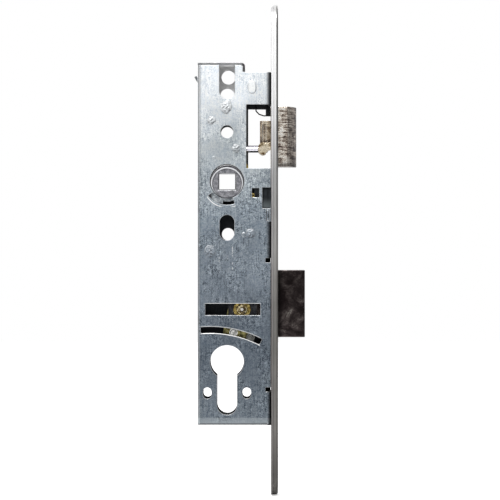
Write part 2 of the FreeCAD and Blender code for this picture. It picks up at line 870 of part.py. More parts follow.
def make_rod_guide():
    """The block staked to the near plate that the latch rod slides through."""
    x, z = rod_guide_at
    half = rod_guide_width / 2
    block = box(x - half, x + half, near_in, rod_guide_far, rod_guide_bottom, rod_guide_top)
    nib = STAKE_RADII["rod_guide"]
    stake = round_y(x, z, nib, near_out, near_in + 0.2)
    stake = stake.common(box(x - half, x + half, near_out - 1, near_in + 1, z - nib, z + nib))
    head = round_y(x, z, nib + 0.2, near_out - stake_height, near_out)
    head = rounded(head, stake_height * 0.8, lambda e: flat_at(e, "y", near_out - stake_height))
    block = block.fuse([stake, head])
    return block.cut(round_x(0, rod_height, rod_radius + rod_slide_fit, x - 3, x + 3))


# Latch

def make_latch_head():
    """The latch bolt, bevelled on the near side, with its neck and the socket of the rod."""
    tip = latch_throw
    tip_y = latch_half - latch_tip_thickness
    middle_x = (latch_flat + tip) / 2 + latch_bevel_sag
    middle_y = (tip_y - latch_half) / 2 - latch_bevel_sag
    plan = [
        V(latch_inner_end, -latch_half, 0),
        V(latch_flat, -latch_half, 0),
        (V(middle_x, middle_y, 0), V(tip, tip_y, 0)),
        V(tip, latch_half, 0),
        V(latch_inner_end, latch_half, 0),
    ]
    head = Part.Face(wire_of(plan)).extrude(V(0, 0, latch_height))
    head.translate(V(0, 0, latch_bottom))
    head = rounded(head, latch_edge_radius, lambda e: flat_at(e, "z", latch_bottom)
                   or flat_at(e, "z", latch_top)
                   or (flat_at(e, "x", tip) and e.BoundBox.ZLength > latch_height / 2))
    seam = box(0.6, latch_flat - 0.2, -latch_half - 1, -latch_half + latch_seam,
               latch_seam_height - latch_seam / 2, latch_seam_height + latch_seam / 2)
    head = head.cut(seam)
    root = latch_inner_end + neck_overlap
    neck_half = latch_neck_width / 2
    neck = prism_y([
        side_point(root, latch_neck_top),
        side_point(neck_rear, latch_neck_top),
        side_point(neck_rear, rod_height + 2.6),
        (side_point(neck_rear - neck_lobe_swell, rod_height - 0.4),
         side_point(neck_rear + 1.0, neck_lobe_bottom)),
        (side_point(neck_rear + 2.1, neck_lobe_bottom), side_point(neck_rear + 3.0, neck_lobe_bottom + 0.7)),
        (side_point(neck_rear + 4.1, neck_bottom - 0.6), side_point(latch_inner_end, neck_bottom)),
        side_point(root, neck_bottom),
    ], -neck_half, neck_half)
    pockets = []
    for side in (-1, 1):
        y0, y1 = sorted((side * (neck_half + 1), side * (neck_half - neck_pocket_depth)))
        pocket_left = neck_rear + neck_pocket_rim
        pocket = box(pocket_left, latch_inner_end, y0, y1, neck_pocket_bottom,
                     latch_neck_top - neck_pocket_depth)
        pockets.append(rounded(pocket, neck_pocket_corner, lambda e: flat_at(e, "x", pocket_left)
                               and e.BoundBox.YLength > 1))
    neck = neck.cut(pockets)
    socket = round_x(0, rod_height, rod_radius + seat_gap, neck_rear - neck_lobe_swell - 1,
                     neck_rear + rod_socket_depth)
    return head.fuse(neck).removeSplitter().cut(socket)


def make_latch_rod():
    """The round rod with the reduced end that carries the collar."""
    thick = round_x(0, rod_height, rod_radius, collar_right, neck_rear + rod_socket_depth - 0.1)
    thin = round_x(0, rod_height, rod_end_radius, rod_left, collar_right)
    rod = thick.fuse(thin)
    groove = round_x(0, rod_height, rod_end_radius + 1, clip_left, collar_left)
    groove = groove.cut(round_x(0, rod_height, rod_end_radius - rod_groove_depth, clip_left, collar_left))
    rod = rod.cut(groove)
    return bevelled(rod, 0.3, lambda e: flat_at(e, "x", rod_left))


def make_latch_collar():
    """The collar that the levers push."""
    collar = round_x(0, rod_height, collar_radius, collar_left, collar_right)
    collar = bevelled(collar, 0.3, lambda e: flat_at(e, "x", collar_left) or flat_at(e, "x", collar_right))
    return collar.cut(round_x(0, rod_height, rod_end_radius + seat_gap, collar_left - 1, collar_right + 1))


def make_rod_clip():
    """The open clip in the groove at the end of the rod."""
    clip = round_x(0, rod_height, clip_radius, clip_left + 0.02, collar_left - 0.02)
    bore = round_x(0, rod_height, rod_end_radius - rod_groove_depth + seat_gap, clip_left - 1, collar_left + 1)
    mouth_half = rod_end_radius - rod_groove_depth
    mouth = box(clip_left - 1, collar_left + 1, -mouth_half, mouth_half,
                rod_height - clip_radius - 1, rod_height)
    return clip.cut([bore, mouth])


def make_latch_spring():
    """The torsion spring on the upper pillar. One leg presses the collar, the other rests on the pin."""
    x, z = upper_pillar_at
    centre = V(x, latch_coil_start, z)
    quarter_turns = (540.0 - latch_leg_angle + 720.0) / 90.0
    coil, start, start_way, end, end_way = helix_edges(centre, latch_spring_radius, latch_spring_pitch,
                                                       latch_leg_angle, 1, quarter_turns)
    lead = [Part.makeLine(start - start_way * latch_anchor_leg, start)]
    wire_radius = latch_spring_wire / 2
    leg_y = end.y
    press_x = collar_left - wire_radius - seat_gap
    down = end + end_way * 1.0
    points = [
        down,
        V(end.x - 0.35, leg_y + 0.12, rod_height + latch_leg_knee),
        V(press_x, leg_y + 0.12, rod_height + latch_leg_ankle),
        V(press_x, leg_y + 0.12, rod_height - latch_leg_toe),
    ]
    tail = [Part.makeLine(end, down)] + rounded_path_from(end_way, points, 4.0)
    return swept_wire(lead + coil + tail, wire_radius)


def rounded_path_from(way, points, radius):
    """Runs through the points that leave the first along the way, with arcs at the corners."""
    first = points[0]
    corner = first + way * 2.0
    return rounded_path([first, corner] + points[1:], radius)


# Follower

def hub_key(extra):
    """The key of the hub, with room round it for the pieces that slide over it."""
    half = hub_key_width / 2 + extra
    outer = hub_radius + hub_key_height + extra
    return box(axis_x - outer, axis_x - hub_radius + 1.0, -far_in + 0.2, far_in - 0.2,
               spindle_height - half, spindle_height + half)


def make_follower_hub():
    """The spindle hub: two bosses in the plates, a middle flange with a nose, and a key."""
    hub = round_y(axis_x, spindle_height, hub_radius, near_out + end_inset, far_out - end_inset)
    hub = bevelled(hub, 0.35, lambda e: flat_at(e, "y", near_out + end_inset)
                   or flat_at(e, "y", far_out - end_inset))
    flange = round_y(axis_x, spindle_height, flange_radius, -flange_half_width, flange_half_width)
    nose_place = polar(axis_x, spindle_height, nose_centre_radius, nose_angle)
    nose = round_y(nose_place.x, nose_place.z, nose_radius, -flange_half_width, flange_half_width)
    web_half = 6.5
    web = prism_y([
        side_point(axis_x, spindle_height),
        polar(axis_x, spindle_height, flange_radius, nose_angle - 2 * web_half),
        nose_place,
        polar(axis_x, spindle_height, flange_radius, nose_angle + 2 * web_half),
    ], -flange_half_width, flange_half_width)
    hub = hub.fuse([flange, nose, web, hub_key(0)]).removeSplitter()
    half = spindle_square / 2
    square = box(axis_x - half, axis_x + half, near_out - 1, far_out + 1,
                 spindle_height - half, spindle_height + half)
    rims = [square_rim(half, near_out + end_inset, 1), square_rim(half, far_out - end_inset, -1)]
    return hub.cut([square] + rims)


def square_rim(half, y, way):
    """The bevel round one mouth of the spindle square, as a four-sided frustum."""
    def ring(size, depth):
        place = y + way * depth
        pairs = [(-size, -size), (size, -size), (size, size), (-size, size)]
        points = [V(axis_x + a, place, spindle_height + b) for a, b in pairs]
        return Part.makePolygon(points + [points[0]])

    wide = ring(half + spindle_rim + 0.1, -0.1)
    narrow = ring(half, spindle_rim)
    return Part.makeLoft([wide, narrow], True, True)


def make_stop_ring():
    """The ring beside the near lever, with the lug that runs in the arc slot of the near plate."""
    y0 = near_in + 0.15
    y1 = -flange_half_width - 0.05 - lever_thickness - 0.05
    ring = round_y(axis_x, spindle_height, stop_ring_radius, y0, y1)
    lug = sector(axis_x, spindle_height, hub_radius + 0.3, lug_radius,
                 lug_start + lug_end_gap, lug_end, near_out + end_inset, y1)
    ring = ring.fuse(lug).removeSplitter()
    bore = round_y(axis_x, spindle_height, hub_radius + seat_gap, near_out - 1, 0)
    return ring.cut([bore, hub_key(seat_gap)])


def make_lever(side):
    """A lever that slides over the hub beside the flange and pushes the collar with its round end."""
    inner = flange_half_width + 0.05
    y0, y1 = sorted((side * inner, side * (inner + lever_thickness)))
    ring = round_y(axis_x, spindle_height, lever_ring_radius, y0, y1)
    toe = lever_ring_radius
    arm = [
        (-lever_neck / 2, toe - 0.6),
        (lever_waist_left, toe + 2.4),
        (lever_waist_left, lobe_z - lever_lobe_radius * 0.8),
        (lobe_x, lobe_z),
        (lobe_x + lever_lobe_radius, lobe_z),
        (lobe_x + lever_lobe_radius + 0.15, toe + 4.6),
        (toe, toe + 0.2),
        (lever_corner[0], lever_corner[1]),
        (toe + 0.4, toe - 8.1),
        (0.0, 0.0),
    ]
    web = prism_y(corners([(axis_x + a, spindle_height + b) for a, b in arm]), y0, y1)
    lobe = round_y(axis_x + lobe_x, spindle_height + lobe_z, lever_lobe_radius, y0, y1)
    shape = ring.fuse([web, lobe]).removeSplitter()
    bore = round_y(axis_x, spindle_height, hub_radius + seat_gap, y0 - 1, y1 + 1)
    return shape.cut([bore, hub_key(seat_gap)])


# Return plunger, its spring and guide

guide_back_wall = 1.1
guide_front = case_front - seat_gap
spring_clearance = 0.25


def make_plunger_guide():
    """The dark block between the plates, with the blind bore of the plunger."""
    block = box(guide_rear, guide_front, near_in + seat_gap, far_in - seat_gap, guide_bottom, guide_top)
    block = rounded(block, 0.5, lambda e: e.BoundBox.XLength > 5)
    bore_end = guide_front - guide_back_wall
    return block.cut(round_x(0, plunger_height, plunger_radius + plunger_fit, guide_rear - 1, bore_end))


def make_return_plunger():
    """The cup that the nose of the hub pushes."""
    cup = round_x(0, plunger_height, plunger_radius, plunger_left, plunger_end)
    cup = rounded(cup, plunger_nose_round, lambda e: flat_at(e, "x", plunger_left))
    hollow = round_x(0, plunger_height, plunger_radius - plunger_wall, plunger_left + plunger_nose_wall,
                     plunger_end + 1)
    return cup.cut(hollow)


def make_return_spring():
    """The compression spring between the cup and the end of the bore."""
    wire_radius = return_wire / 2
    left = plunger_left + plunger_nose_wall + spring_clearance + wire_radius
    right = guide_front - guide_back_wall - spring_clearance - wire_radius
    pitch = (right - left) / return_turns
    edges = helix_edges(V(0, 0, 0), return_radius, pitch, 0.0, 1, 4 * return_turns)[0]
    spring = swept_wire(edges, wire_radius)
    spring.rotate(V(0, 0, 0), V(0, 0, 1), -90)
    spring.translate(V(left, 0, plunger_height))
    return spring


# Deadbolt

bolt_rear_low = -7.0
bolt_step_drop = 5.1
bolt_low_step = stud_height - bolt_step_drop
tail_slot_end = -3.6
notch_depth = 1.4
notch_half = 2.2
detent_tip_behind = 1.5
detent_tip_x = bolt_tail_end - detent_tip_behind
rivet_radius = 1.5
upper_rivet_drop = 1.5
lower_rivet_rise = 2.0
bolt_rivets_at = (tail_top - upper_rivet_drop, tail_bottom + lower_rivet_rise)
bolt_rivet_x = -6.3


def make_deadbolt_head():
    """The bolt, stepped at its lower rear to clear the carriage, slotted for the two tail plates."""
    points = corners([
        (bolt_rear, bolt_top),
        (bolt_throw, bolt_top),
        (bolt_throw, bolt_bottom),
        (bolt_rear_low, bolt_bottom),
        (bolt_rear_low, bolt_low_step),
        (bolt_rear, bolt_low_step),
    ])
    head = prism_y(points, -bolt_half, bolt_half)
    head = rounded(head, 0.4, lambda e: flat_at(e, "x", bolt_throw)
                   or (e.BoundBox.XLength > 15 and (flat_at(e, "y", bolt_half) or flat_at(e, "y", -bolt_half))))
    slots = []
    for side in (-1, 1):
        y0, y1 = sorted((side * (tail_gap_half - seat_gap), side * (tail_gap_half + tail_plate + seat_gap)))
        slots.append(box(bolt_rear - 1, tail_slot_end, y0, y1, tail_bottom - seat_gap, tail_top + seat_gap))
    holes = [round_y(bolt_rivet_x, z, rivet_radius + seat_gap, -bolt_half - 1, bolt_half + 1)
             for z in bolt_rivets_at]
    return head.cut(slots + holes)


def make_bolt_tail(side):
    """A tail plate with the hole of the stud, a bevelled rear corner and the detent notch."""
    y0, y1 = sorted((side * tail_gap_half, side * (tail_gap_half + tail_plate)))
    corner = 2.2
    notch_x = detent_tip_x + bolt_throw
    points = corners([
        (bolt_tail_end, tail_bottom),
        (tail_slot_end - 0.2, tail_bottom),
        (tail_slot_end - 0.2, tail_top),
        (notch_x + notch_half, tail_top),
        (notch_x, tail_top - notch_depth),
        (notch_x - notch_half, tail_top),
        (bolt_tail_end + corner, tail_top),
        (bolt_tail_end, tail_top - corner),
    ])
    plate = prism_y(points, y0, y1)
    holes = [round_y(bolt_rivet_x, z, rivet_radius + seat_gap, y0 - 1, y1 + 1) for z in bolt_rivets_at]
    holes.append(round_y(stud_x, stud_height, stud_radius + seat_gap, y0 - 1, y1 + 1))
    return plate.cut(holes)


def make_bolt_rivets():
    """Rivets through the bolt and both tail plates, ground flush."""
    return Part.makeCompound([round_y(bolt_rivet_x, z, rivet_radius, -bolt_half, bolt_half)
                              for z in bolt_rivets_at])


def make_bolt_stud():
    """The stud that the roller turns on. Its near end runs in the long window of the near plate."""
    near_end = near_out + stud_inset
    far_end = far_in - stud_inset
    stud = round_y(stud_x, stud_height, stud_radius, near_end, far_end)
    return bevelled(stud, 0.35, lambda e: flat_at(e, "y", near_end) or flat_at(e, "y", far_end))


def make_bolt_bush(side):
    """A brass spacer ring between a tail plate and a case plate."""
    inner = tail_gap_half + tail_plate + seat_gap
    outer = far_in - 0.15
    y0, y1 = sorted((side * inner, side * outer))
    bush = round_y(stud_x, stud_height, bush_radius, y0, y1)
    bush = rounded(bush, 0.4, lambda e: flat_at(e, "y", side * outer))
    return bush.cut(round_y(stud_x, stud_height, stud_radius + seat_gap, y0 - 1, y1 + 1))


def make_drive_roller():
    """The roller between the tail plates, which the fork of the carriage moves."""
    half = tail_gap_half - 0.3
    roller = round_y(stud_x, stud_height, roller_radius, -half, half)
    roller = bevelled(roller, 0.3, lambda e: flat_at(e, "y", half) or flat_at(e, "y", -half))
    return roller.cut(round_y(stud_x, stud_height, stud_radius + roller_fit, -half - 1, half + 1))


# Key carriage

prong_rise = 3.6
carriage_below_slot = 5.3
carriage_above_slot = 6.0
fork_floor_gap = 0.5
carriage_top_radius = stud_distance + prong_rise
carriage_low_radius = slot_radius - carriage_below_slot
prong_left = 2.6
prong_right = 1.85
talon_shift = -0.3
talon_flare = 0.8
talon_width = 4.6
talon_depth = 3.6
talon_entry = 1.8
carriage_taper = 0.5


def swing_point(along, radius):
    """A point beside the line from the swing centre through the stud, at a distance from that centre."""
    turn = math.radians(fork_angle)
    out = V(math.sin(turn), 0, math.cos(turn))
    side = V(math.cos(turn), 0, -math.sin(turn))
    return V(swing_x, 0, swing_z) + out * radius + side * along


def stud_points():
    """Centres of the two studs, on the middle line of the curved slot."""
    places = []
    for x in (carriage_stud_left, carriage_stud_right):
        z = swing_z + math.sqrt(slot_radius ** 2 - (x - swing_x) ** 2)
        places.append((x, z))
    return places


def make_key_carriage():
    """The plate that the key moves, with its fork above and the talon notch for the cam below."""
    half = carriage_thickness / 2
    fork_half = roller_radius + fork_clearance
    fork_low = stud_distance_back - roller_radius - fork_floor_gap
    left = -fork_half - prong_left
    right = fork_half + prong_right
    body = prism_y([
        swing_point(left, carriage_top_radius),
        swing_point(right, carriage_top_radius),
        swing_point(right, carriage_low_radius),
        swing_point(left + carriage_taper, carriage_low_radius),
        swing_point(left, slot_radius + carriage_above_slot),
    ], -half, half)
    fork = prism_y([
        swing_point(-fork_half, carriage_top_radius + 1),
        swing_point(fork_half, carriage_top_radius + 1),
        swing_point(fork_half, fork_low),
        swing_point(-fork_half, fork_low),
    ], -half - 1, half + 1)
    talon_low = carriage_low_radius - talon_entry
    talon_high = carriage_low_radius + talon_depth
    talon = prism_y([
        swing_point(talon_shift - talon_width / 2 - talon_flare, talon_low),
        swing_point(talon_shift + talon_width / 2 + talon_flare, talon_low),
        swing_point(talon_shift + talon_width / 2, talon_high),
        swing_point(talon_shift - talon_width / 2, talon_high),
    ], -half - 1, half + 1)
    holes = [round_y(x, z, carriage_stud_radius + seat_gap, -half - 1, half + 1) for x, z in stud_points()]
    return body.cut([fork, talon] + holes)


def make_carriage_studs():
    """Studs through the carriage whose near ends run in the curved slot of the near plate."""
    studs = []
    near_end = near_out + stud_inset
    far_end = far_in - stud_inset
    shoulder = carriage_stud_radius + carriage_stud_shoulder
    inner = carriage_thickness / 2 + seat_gap
    for x, z in stud_points():
        stud = round_y(x, z, carriage_stud_radius, near_end, far_end)
        stud = bevelled(stud, 0.25, lambda e: flat_at(e, "y", near_end) or flat_at(e, "y", far_end))
        rings = [round_y(x, z, shoulder, near_in + 0.2, -inner), round_y(x, z, shoulder, inner, far_end)]
        studs.append(stud.fuse(rings).removeSplitter())
    return Part.makeCompound(studs)


def make_detent_spring():
    """The spring on the rear pillar whose round end drops behind the far tail plate, or into its notch."""
    x, z = rear_pillar_at
    centre = V(x, detent_coil_start, z)
    across = detent_tip_x - x
    down = tail_top - detent_dip - z
    distance = math.hypot(across, down)
    leave = math.degrees(math.atan2(down, across) - math.acos(detent_radius / distance)) + 1080.0
    coil, start, start_way, end, end_way = helix_edges(centre, detent_radius, detent_pitch, 180.0, 1,
                                                       (leave - 180.0) / 90.0)
    up = [Part.makeLine(start - start_way * detent_anchor_leg, start)]
    reach = math.sqrt(distance ** 2 - detent_radius ** 2) / math.hypot(end_way.x, end_way.z)
    dip = end + end_way * reach
    points = [end, dip]
    points += [V(detent_tip_x + aside, dip.y, tail_top + rise) for aside, rise in DETENT_TIP]
    return swept_wire(up + coil + rounded_path(points, detent_bend), detent_wire / 2)


save("forend", make_forend())
save("case_body", make_case_body())
save("case_cover", make_case_cover())
save("forend_screws", make_forend_screws())
save("cover_screws", make_cover_screws())
save("upper_pillar", pillar("upper_pillar", upper_pillar_at, pillar_radius, True))
save("front_pillar", pillar("front_pillar", front_pillar_at, pillar_radius, True))
save("rear_pillar", pillar("rear_pillar", rear_pillar_at, pillar_radius, True))
save("spring_anchor_pin", pillar("anchor_pin", anchor_pin_at, anchor_pin_radius, False))
save("rod_guide", make_rod_guide())
save("latch_keeper_wire", make_keeper_wire())
save("latch_head", make_latch_head())
save("latch_rod", make_latch_rod())
save("latch_collar", make_latch_collar())
save("rod_clip", make_rod_clip())
save("latch_spring", make_latch_spring())
save("follower_hub", make_follower_hub())
save("follower_stop_ring", make_stop_ring())
save("follower_lever_near", make_lever(-1))
save("follower_lever_far", make_lever(1))
save("plunger_guide", make_plunger_guide())
save("return_plunger", make_return_plunger())
save("return_spring", make_return_spring())
save("deadbolt_head", make_deadbolt_head())
save("bolt_tail_near", make_bolt_tail(-1))
save("bolt_tail_far", make_bolt_tail(1))
save("bolt_rivets", make_bolt_rivets())
save("bolt_stud", make_bolt_stud())
save("bolt_bush_near", make_bolt_bush(-1))
save("bolt_bush_far", make_bolt_bush(1))
save("drive_roller", make_drive_roller())
save("key_carriage", make_key_carriage())
save("carriage_studs", make_carriage_studs())
save("bolt_detent_spring", make_detent_spring())
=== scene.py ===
import json
import math

import bmesh
import bpy
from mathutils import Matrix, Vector, noise


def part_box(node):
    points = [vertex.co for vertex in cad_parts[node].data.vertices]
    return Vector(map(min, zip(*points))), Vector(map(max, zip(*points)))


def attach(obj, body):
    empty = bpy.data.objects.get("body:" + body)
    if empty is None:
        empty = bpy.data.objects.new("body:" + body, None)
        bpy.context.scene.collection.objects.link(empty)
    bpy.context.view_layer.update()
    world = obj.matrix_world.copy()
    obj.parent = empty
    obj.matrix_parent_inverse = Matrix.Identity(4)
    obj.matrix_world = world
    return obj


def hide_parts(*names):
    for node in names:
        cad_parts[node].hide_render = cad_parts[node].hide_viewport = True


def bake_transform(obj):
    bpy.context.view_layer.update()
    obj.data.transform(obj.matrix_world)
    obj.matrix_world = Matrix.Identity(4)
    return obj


# Mortise sashlock seen square on its near case plate. Metres, +X out of the door edge, +Z up.

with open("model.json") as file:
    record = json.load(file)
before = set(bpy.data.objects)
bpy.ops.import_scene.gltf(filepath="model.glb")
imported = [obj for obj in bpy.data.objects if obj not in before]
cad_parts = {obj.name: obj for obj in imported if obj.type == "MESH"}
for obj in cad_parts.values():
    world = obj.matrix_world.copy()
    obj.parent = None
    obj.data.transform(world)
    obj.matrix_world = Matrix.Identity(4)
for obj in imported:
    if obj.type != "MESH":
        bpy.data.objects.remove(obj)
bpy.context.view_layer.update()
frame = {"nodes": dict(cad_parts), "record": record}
nodes = frame["nodes"]
MM = 0.001

# Places taken from the frame
body_low, body_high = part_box("case_body")
forend_low, forend_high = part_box("forend")
hub_low, hub_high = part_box("follower_hub")
cover_low, cover_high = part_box("case_cover")
near_plane = body_low.y
spindle = ((hub_low.x + hub_high.x) / 2, (hub_low.z + hub_high.z) / 2)


# Node helpers

# Light comes from above and a little from the left, so this much of X counts as up.
LEFTWARD = -0.35


def set_stops(ramp, stops):
    """Gives a colour ramp its stops, each a position and a colour."""
    while len(ramp.elements) < len(stops):
        ramp.elements.new(0.5)
    for element, (position, colour) in zip(ramp.elements, stops):
        element.position = position
        element.color = (*colour, 1.0)


class Nodes:
    """A material's node tree with short ways to add nodes."""

    def __init__(self, name):
        self.material = bpy.data.materials.new(name)
        self.material.use_nodes = True
        self.tree = self.material.node_tree
        self.tree.nodes.clear()
        self.output = self.add("ShaderNodeOutputMaterial")
        self.place = self.add("ShaderNodeTexCoord").outputs["Object"]

    def add(self, kind, **settings):
        node = self.tree.nodes.new(kind)
        for key, value in settings.items():
            setattr(node, key, value)
        return node

    def link(self, value, socket):
        """Connects an output, or writes a constant."""
        if isinstance(value, bpy.types.NodeSocket):
            self.tree.links.new(value, socket)
        else:
            socket.default_value = value

    def math(self, operation, *values):
        node = self.add("ShaderNodeMath", operation=operation)
        for value, socket in zip(values, node.inputs):
            self.link(value, socket)
        return node.outputs[0]

    def times(self, product, *factors):
        for factor in factors:
            product = self.math("MULTIPLY", product, factor)
        return product

    def plus(self, first, second):
        return self.math("ADD", first, second)

    def minus(self, first, second):
        return self.math("SUBTRACT", first, second)

    def blend(self, first, first_share, second, second_share):
        """Two patterns added by their shares."""
        return self.plus(self.times(first, first_share), self.times(second, second_share))

    def scaled(self, scale):
        """The place on the object with each axis scaled, for stretched patterns."""
        node = self.add("ShaderNodeVectorMath", operation="MULTIPLY")
        self.link(self.place, node.inputs[0])
        node.inputs[1].default_value = scale
        return node.outputs[0]

    def noise(self, scale, detail=3.0, rough=0.55, stretch=None, distortion=0.0):
        node = self.add("ShaderNodeTexNoise")
        self.link(self.scaled(stretch) if stretch else self.place, node.inputs["Vector"])
        node.inputs["Scale"].default_value = scale
        node.inputs["Detail"].default_value = detail
        node.inputs["Roughness"].default_value = rough
        node.inputs["Distortion"].default_value = distortion
        return node.outputs["Fac"]

    def crystals(self, scale):
        """Cells that each have a grey level of their own."""
        cells = self.add("ShaderNodeTexVoronoi")
        self.link(self.place, cells.inputs["Vector"])
        cells.inputs["Scale"].default_value = scale
        grey = self.add("ShaderNodeRGBToBW")
        self.link(cells.outputs["Color"], grey.inputs[0])
        return grey.outputs[0]

    def remap(self, value, low, high, to_low=0.0, to_high=1.0):
        node = self.add("ShaderNodeMapRange", interpolation_type="SMOOTHSTEP")
        self.link(value, node.inputs["Value"])
        for name, number in zip(("From Min", "From Max", "To Min", "To Max"), (low, high, to_low, to_high)):
            self.link(number, node.inputs[name])
        return node.outputs["Result"]

    def ramp(self, value, stops):
        node = self.add("ShaderNodeValToRGB")
        self.link(value, node.inputs[0])
        set_stops(node.color_ramp, stops)
        return node.outputs[0]

    def mix(self, factor, first, second, blend="MIX"):
        node = self.add("ShaderNodeMix", data_type="RGBA", blend_type=blend)
        self.link(factor, node.inputs["Factor"])
        for name, value in (("A", first), ("B", second)):
            socket = next(s for s in node.inputs if s.name == name and s.type == "RGBA")
            self.link(value if isinstance(value, bpy.types.NodeSocket) else (*value, 1.0), socket)
        return next(s for s in node.outputs if s.type == "RGBA")

    def paint(self, colour, mask, amount, over):
        """Lays a colour over another where the mask is 1, as strongly as the amount says."""
        return self.mix(self.times(mask, amount), colour, over)

    def scaled_colour(self, colour, level):
        """A colour times a grey level."""
        grey = self.add("ShaderNodeCombineXYZ")
        for socket in grey.inputs:
            self.link(level, socket)
        return self.mix(1.0, colour, grey.outputs[0], "MULTIPLY")

    def split(self, vector):
        """The X, Y and Z of a vector."""
        node = self.add("ShaderNodeSeparateXYZ")
        self.link(vector, node.inputs[0])
        return node.outputs

    def axes(self):
        """The place on the object along X, Y and Z."""
        return self.split(self.place)

    def facing(self, kind="Normal"):
        """Which way the surface looks along X, Y and Z."""
        return self.split(self.add("ShaderNodeNewGeometry").outputs[kind])

    def lean(self, facing):
        """How far a direction points up or to the left."""
        return self.plus(facing["Z"], self.times(facing["X"], LEFTWARD))

    def slopes(self):
        """How far a face leans up or to the left, away from square on to the plates."""
        facing = self.facing()
        square = self.remap(self.math("ABSOLUTE", facing["Y"]), 0.1, 0.4)
        return self.times(self.lean(facing), square)

    def near_faces(self, low, high):
        """1 on the faces that look to the near side and 0 on the others."""
        return self.remap(self.times(self.facing()["Y"], -1.0), low, high)

    def away_from(self, x, z, across, up):
        """The distance from a line along Y."""
        dx = self.minus(x, across)
        dz = self.minus(z, up)
        return self.math("SQRT", self.plus(self.times(dx, dx), self.times(dz, dz)))

    def band(self, value, low, high, soft):
        """1 between two values, with soft ends."""
        return self.times(self.remap(value, low - soft, low), self.remap(value, high + soft, high))

    def sharp_edges(self, radius):
        """1 on sharp edges and 0 on flat stretches, and the softened normal."""
        soft = self.add("ShaderNodeBevel", samples=6)
        soft.inputs["Radius"].default_value = radius
        flat = self.add("ShaderNodeNewGeometry").outputs["True Normal"]
        dot = self.add("ShaderNodeVectorMath", operation="DOT_PRODUCT")
        self.link(soft.outputs[0], dot.inputs[0])
        self.link(flat, dot.inputs[1])
        return self.remap(dot.outputs["Value"], 0.995, 0.86), soft.outputs[0]

    def edge_light_and_shade(self, colour, radius, bright, dark, amount=0.85, burr=0.0):
        """Painted light on edges: a painted highlight on edges that face up or to the left and painted shade
        on edges that face down or back, as under a high window; the burr level gives a bright burr on all
        edges.
        """
        on_edge, soft = self.sharp_edges(radius)
        lean = self.lean(self.split(soft))
        shine = self.times(on_edge, self.remap(lean, -0.5, 0.15, burr, 1.0))
        shade = self.times(on_edge, self.remap(lean, -0.02, -0.22))
        colour = self.paint(colour, shade, 0.5 * amount, dark)
        return self.paint(colour, shine, amount, bright), soft

    def finish(self, colour, roughness, metallic, height, bump, distance, normal=None, specular=0.5):
        """Ends the material with a shader that has its relief from a height pattern."""
        shader = self.add("ShaderNodeBsdfPrincipled")
        self.link(colour, shader.inputs["Base Color"])
        self.link(roughness, shader.inputs["Roughness"])
        self.link(metallic, shader.inputs["Metallic"])
        shader.inputs["Specular IOR Level"].default_value = specular
        relief = self.add("ShaderNodeBump")
        relief.inputs["Strength"].default_value = bump
        relief.inputs["Distance"].default_value = distance
        self.link(height, relief.inputs["Height"])
        if normal is not None:
            self.link(normal, relief.inputs["Normal"])
        self.link(relief.outputs[0], shader.inputs["Normal"])
        self.link(shader.outputs[0], self.output.inputs["Surface"])
        return self.material


# Zinc-plated case

SHEET = 1.2 * MM
# Painted light gradient down the plate: bright at the top, dark lower down, a little lighter at the very foot
PLATE_TOP = (0.74, 0.76, 0.775)
PLATE_UPPER = (0.48, 0.51, 0.525)
PLATE_MIDDLE = (0.27, 0.31, 0.35)
PLATE_WAIST = (0.21, 0.24, 0.275)
PLATE_LOW = (0.124, 0.146, 0.173)
PLATE_FOOT = (0.165, 0.19, 0.215)
PLATE_LIGHT_GRADIENT = (
    (0.0, PLATE_FOOT), (0.16, PLATE_LOW), (0.28, PLATE_LOW), (0.40, PLATE_WAIST), (0.58, PLATE_MIDDLE),
    (0.78, PLATE_UPPER), (0.93, PLATE_TOP),
)
BLUE_TINT = (0.93, 0.985, 1.04)
WARM_TINT = (1.03, 1.02, 0.99)
# RIM is the bright of burrs, scratches and painted highlights, DARK_RIM the painted shade on edges
RIM = (0.93, 0.93, 0.92)
DARK_RIM = (0.02, 0.02, 0.023)
# Painted shade between the plates, and painted light where the top slot lets the light in
INSIDE_SHADE = (0.010, 0.011, 0.013)
LIT_INSIDE = (0.98, 0.98, 0.98)
CUT_EDGE = (0.055, 0.052, 0.056)

# Places on the case
HOOK_FACE = -16.8 * MM
HOOK_DROP = 4.8 * MM
HOOK_EDGE = (-18.3 * MM, 90.4 * MM)
TOP_SLOT_ACROSS = (-30.0 * MM, -21.5 * MM)
TOP_SLOT_UP = (76.0 * MM, 94.0 * MM)
UPPER_WALL = (63.0 * MM, 66.0 * MM)
FOLD_ACROSS = (-6.9 * MM, -4.6 * MM)
FOLD_UP = (-4.2 * MM, 14.2 * MM)
BUMP = (-13.3 * MM, 82.7 * MM)


def height_share(n, z):
    """0 at the foot of the case plate and 1 at its top."""
    return n.math("DIVIDE", n.minus(z, body_low.z), body_high.z - body_low.z)


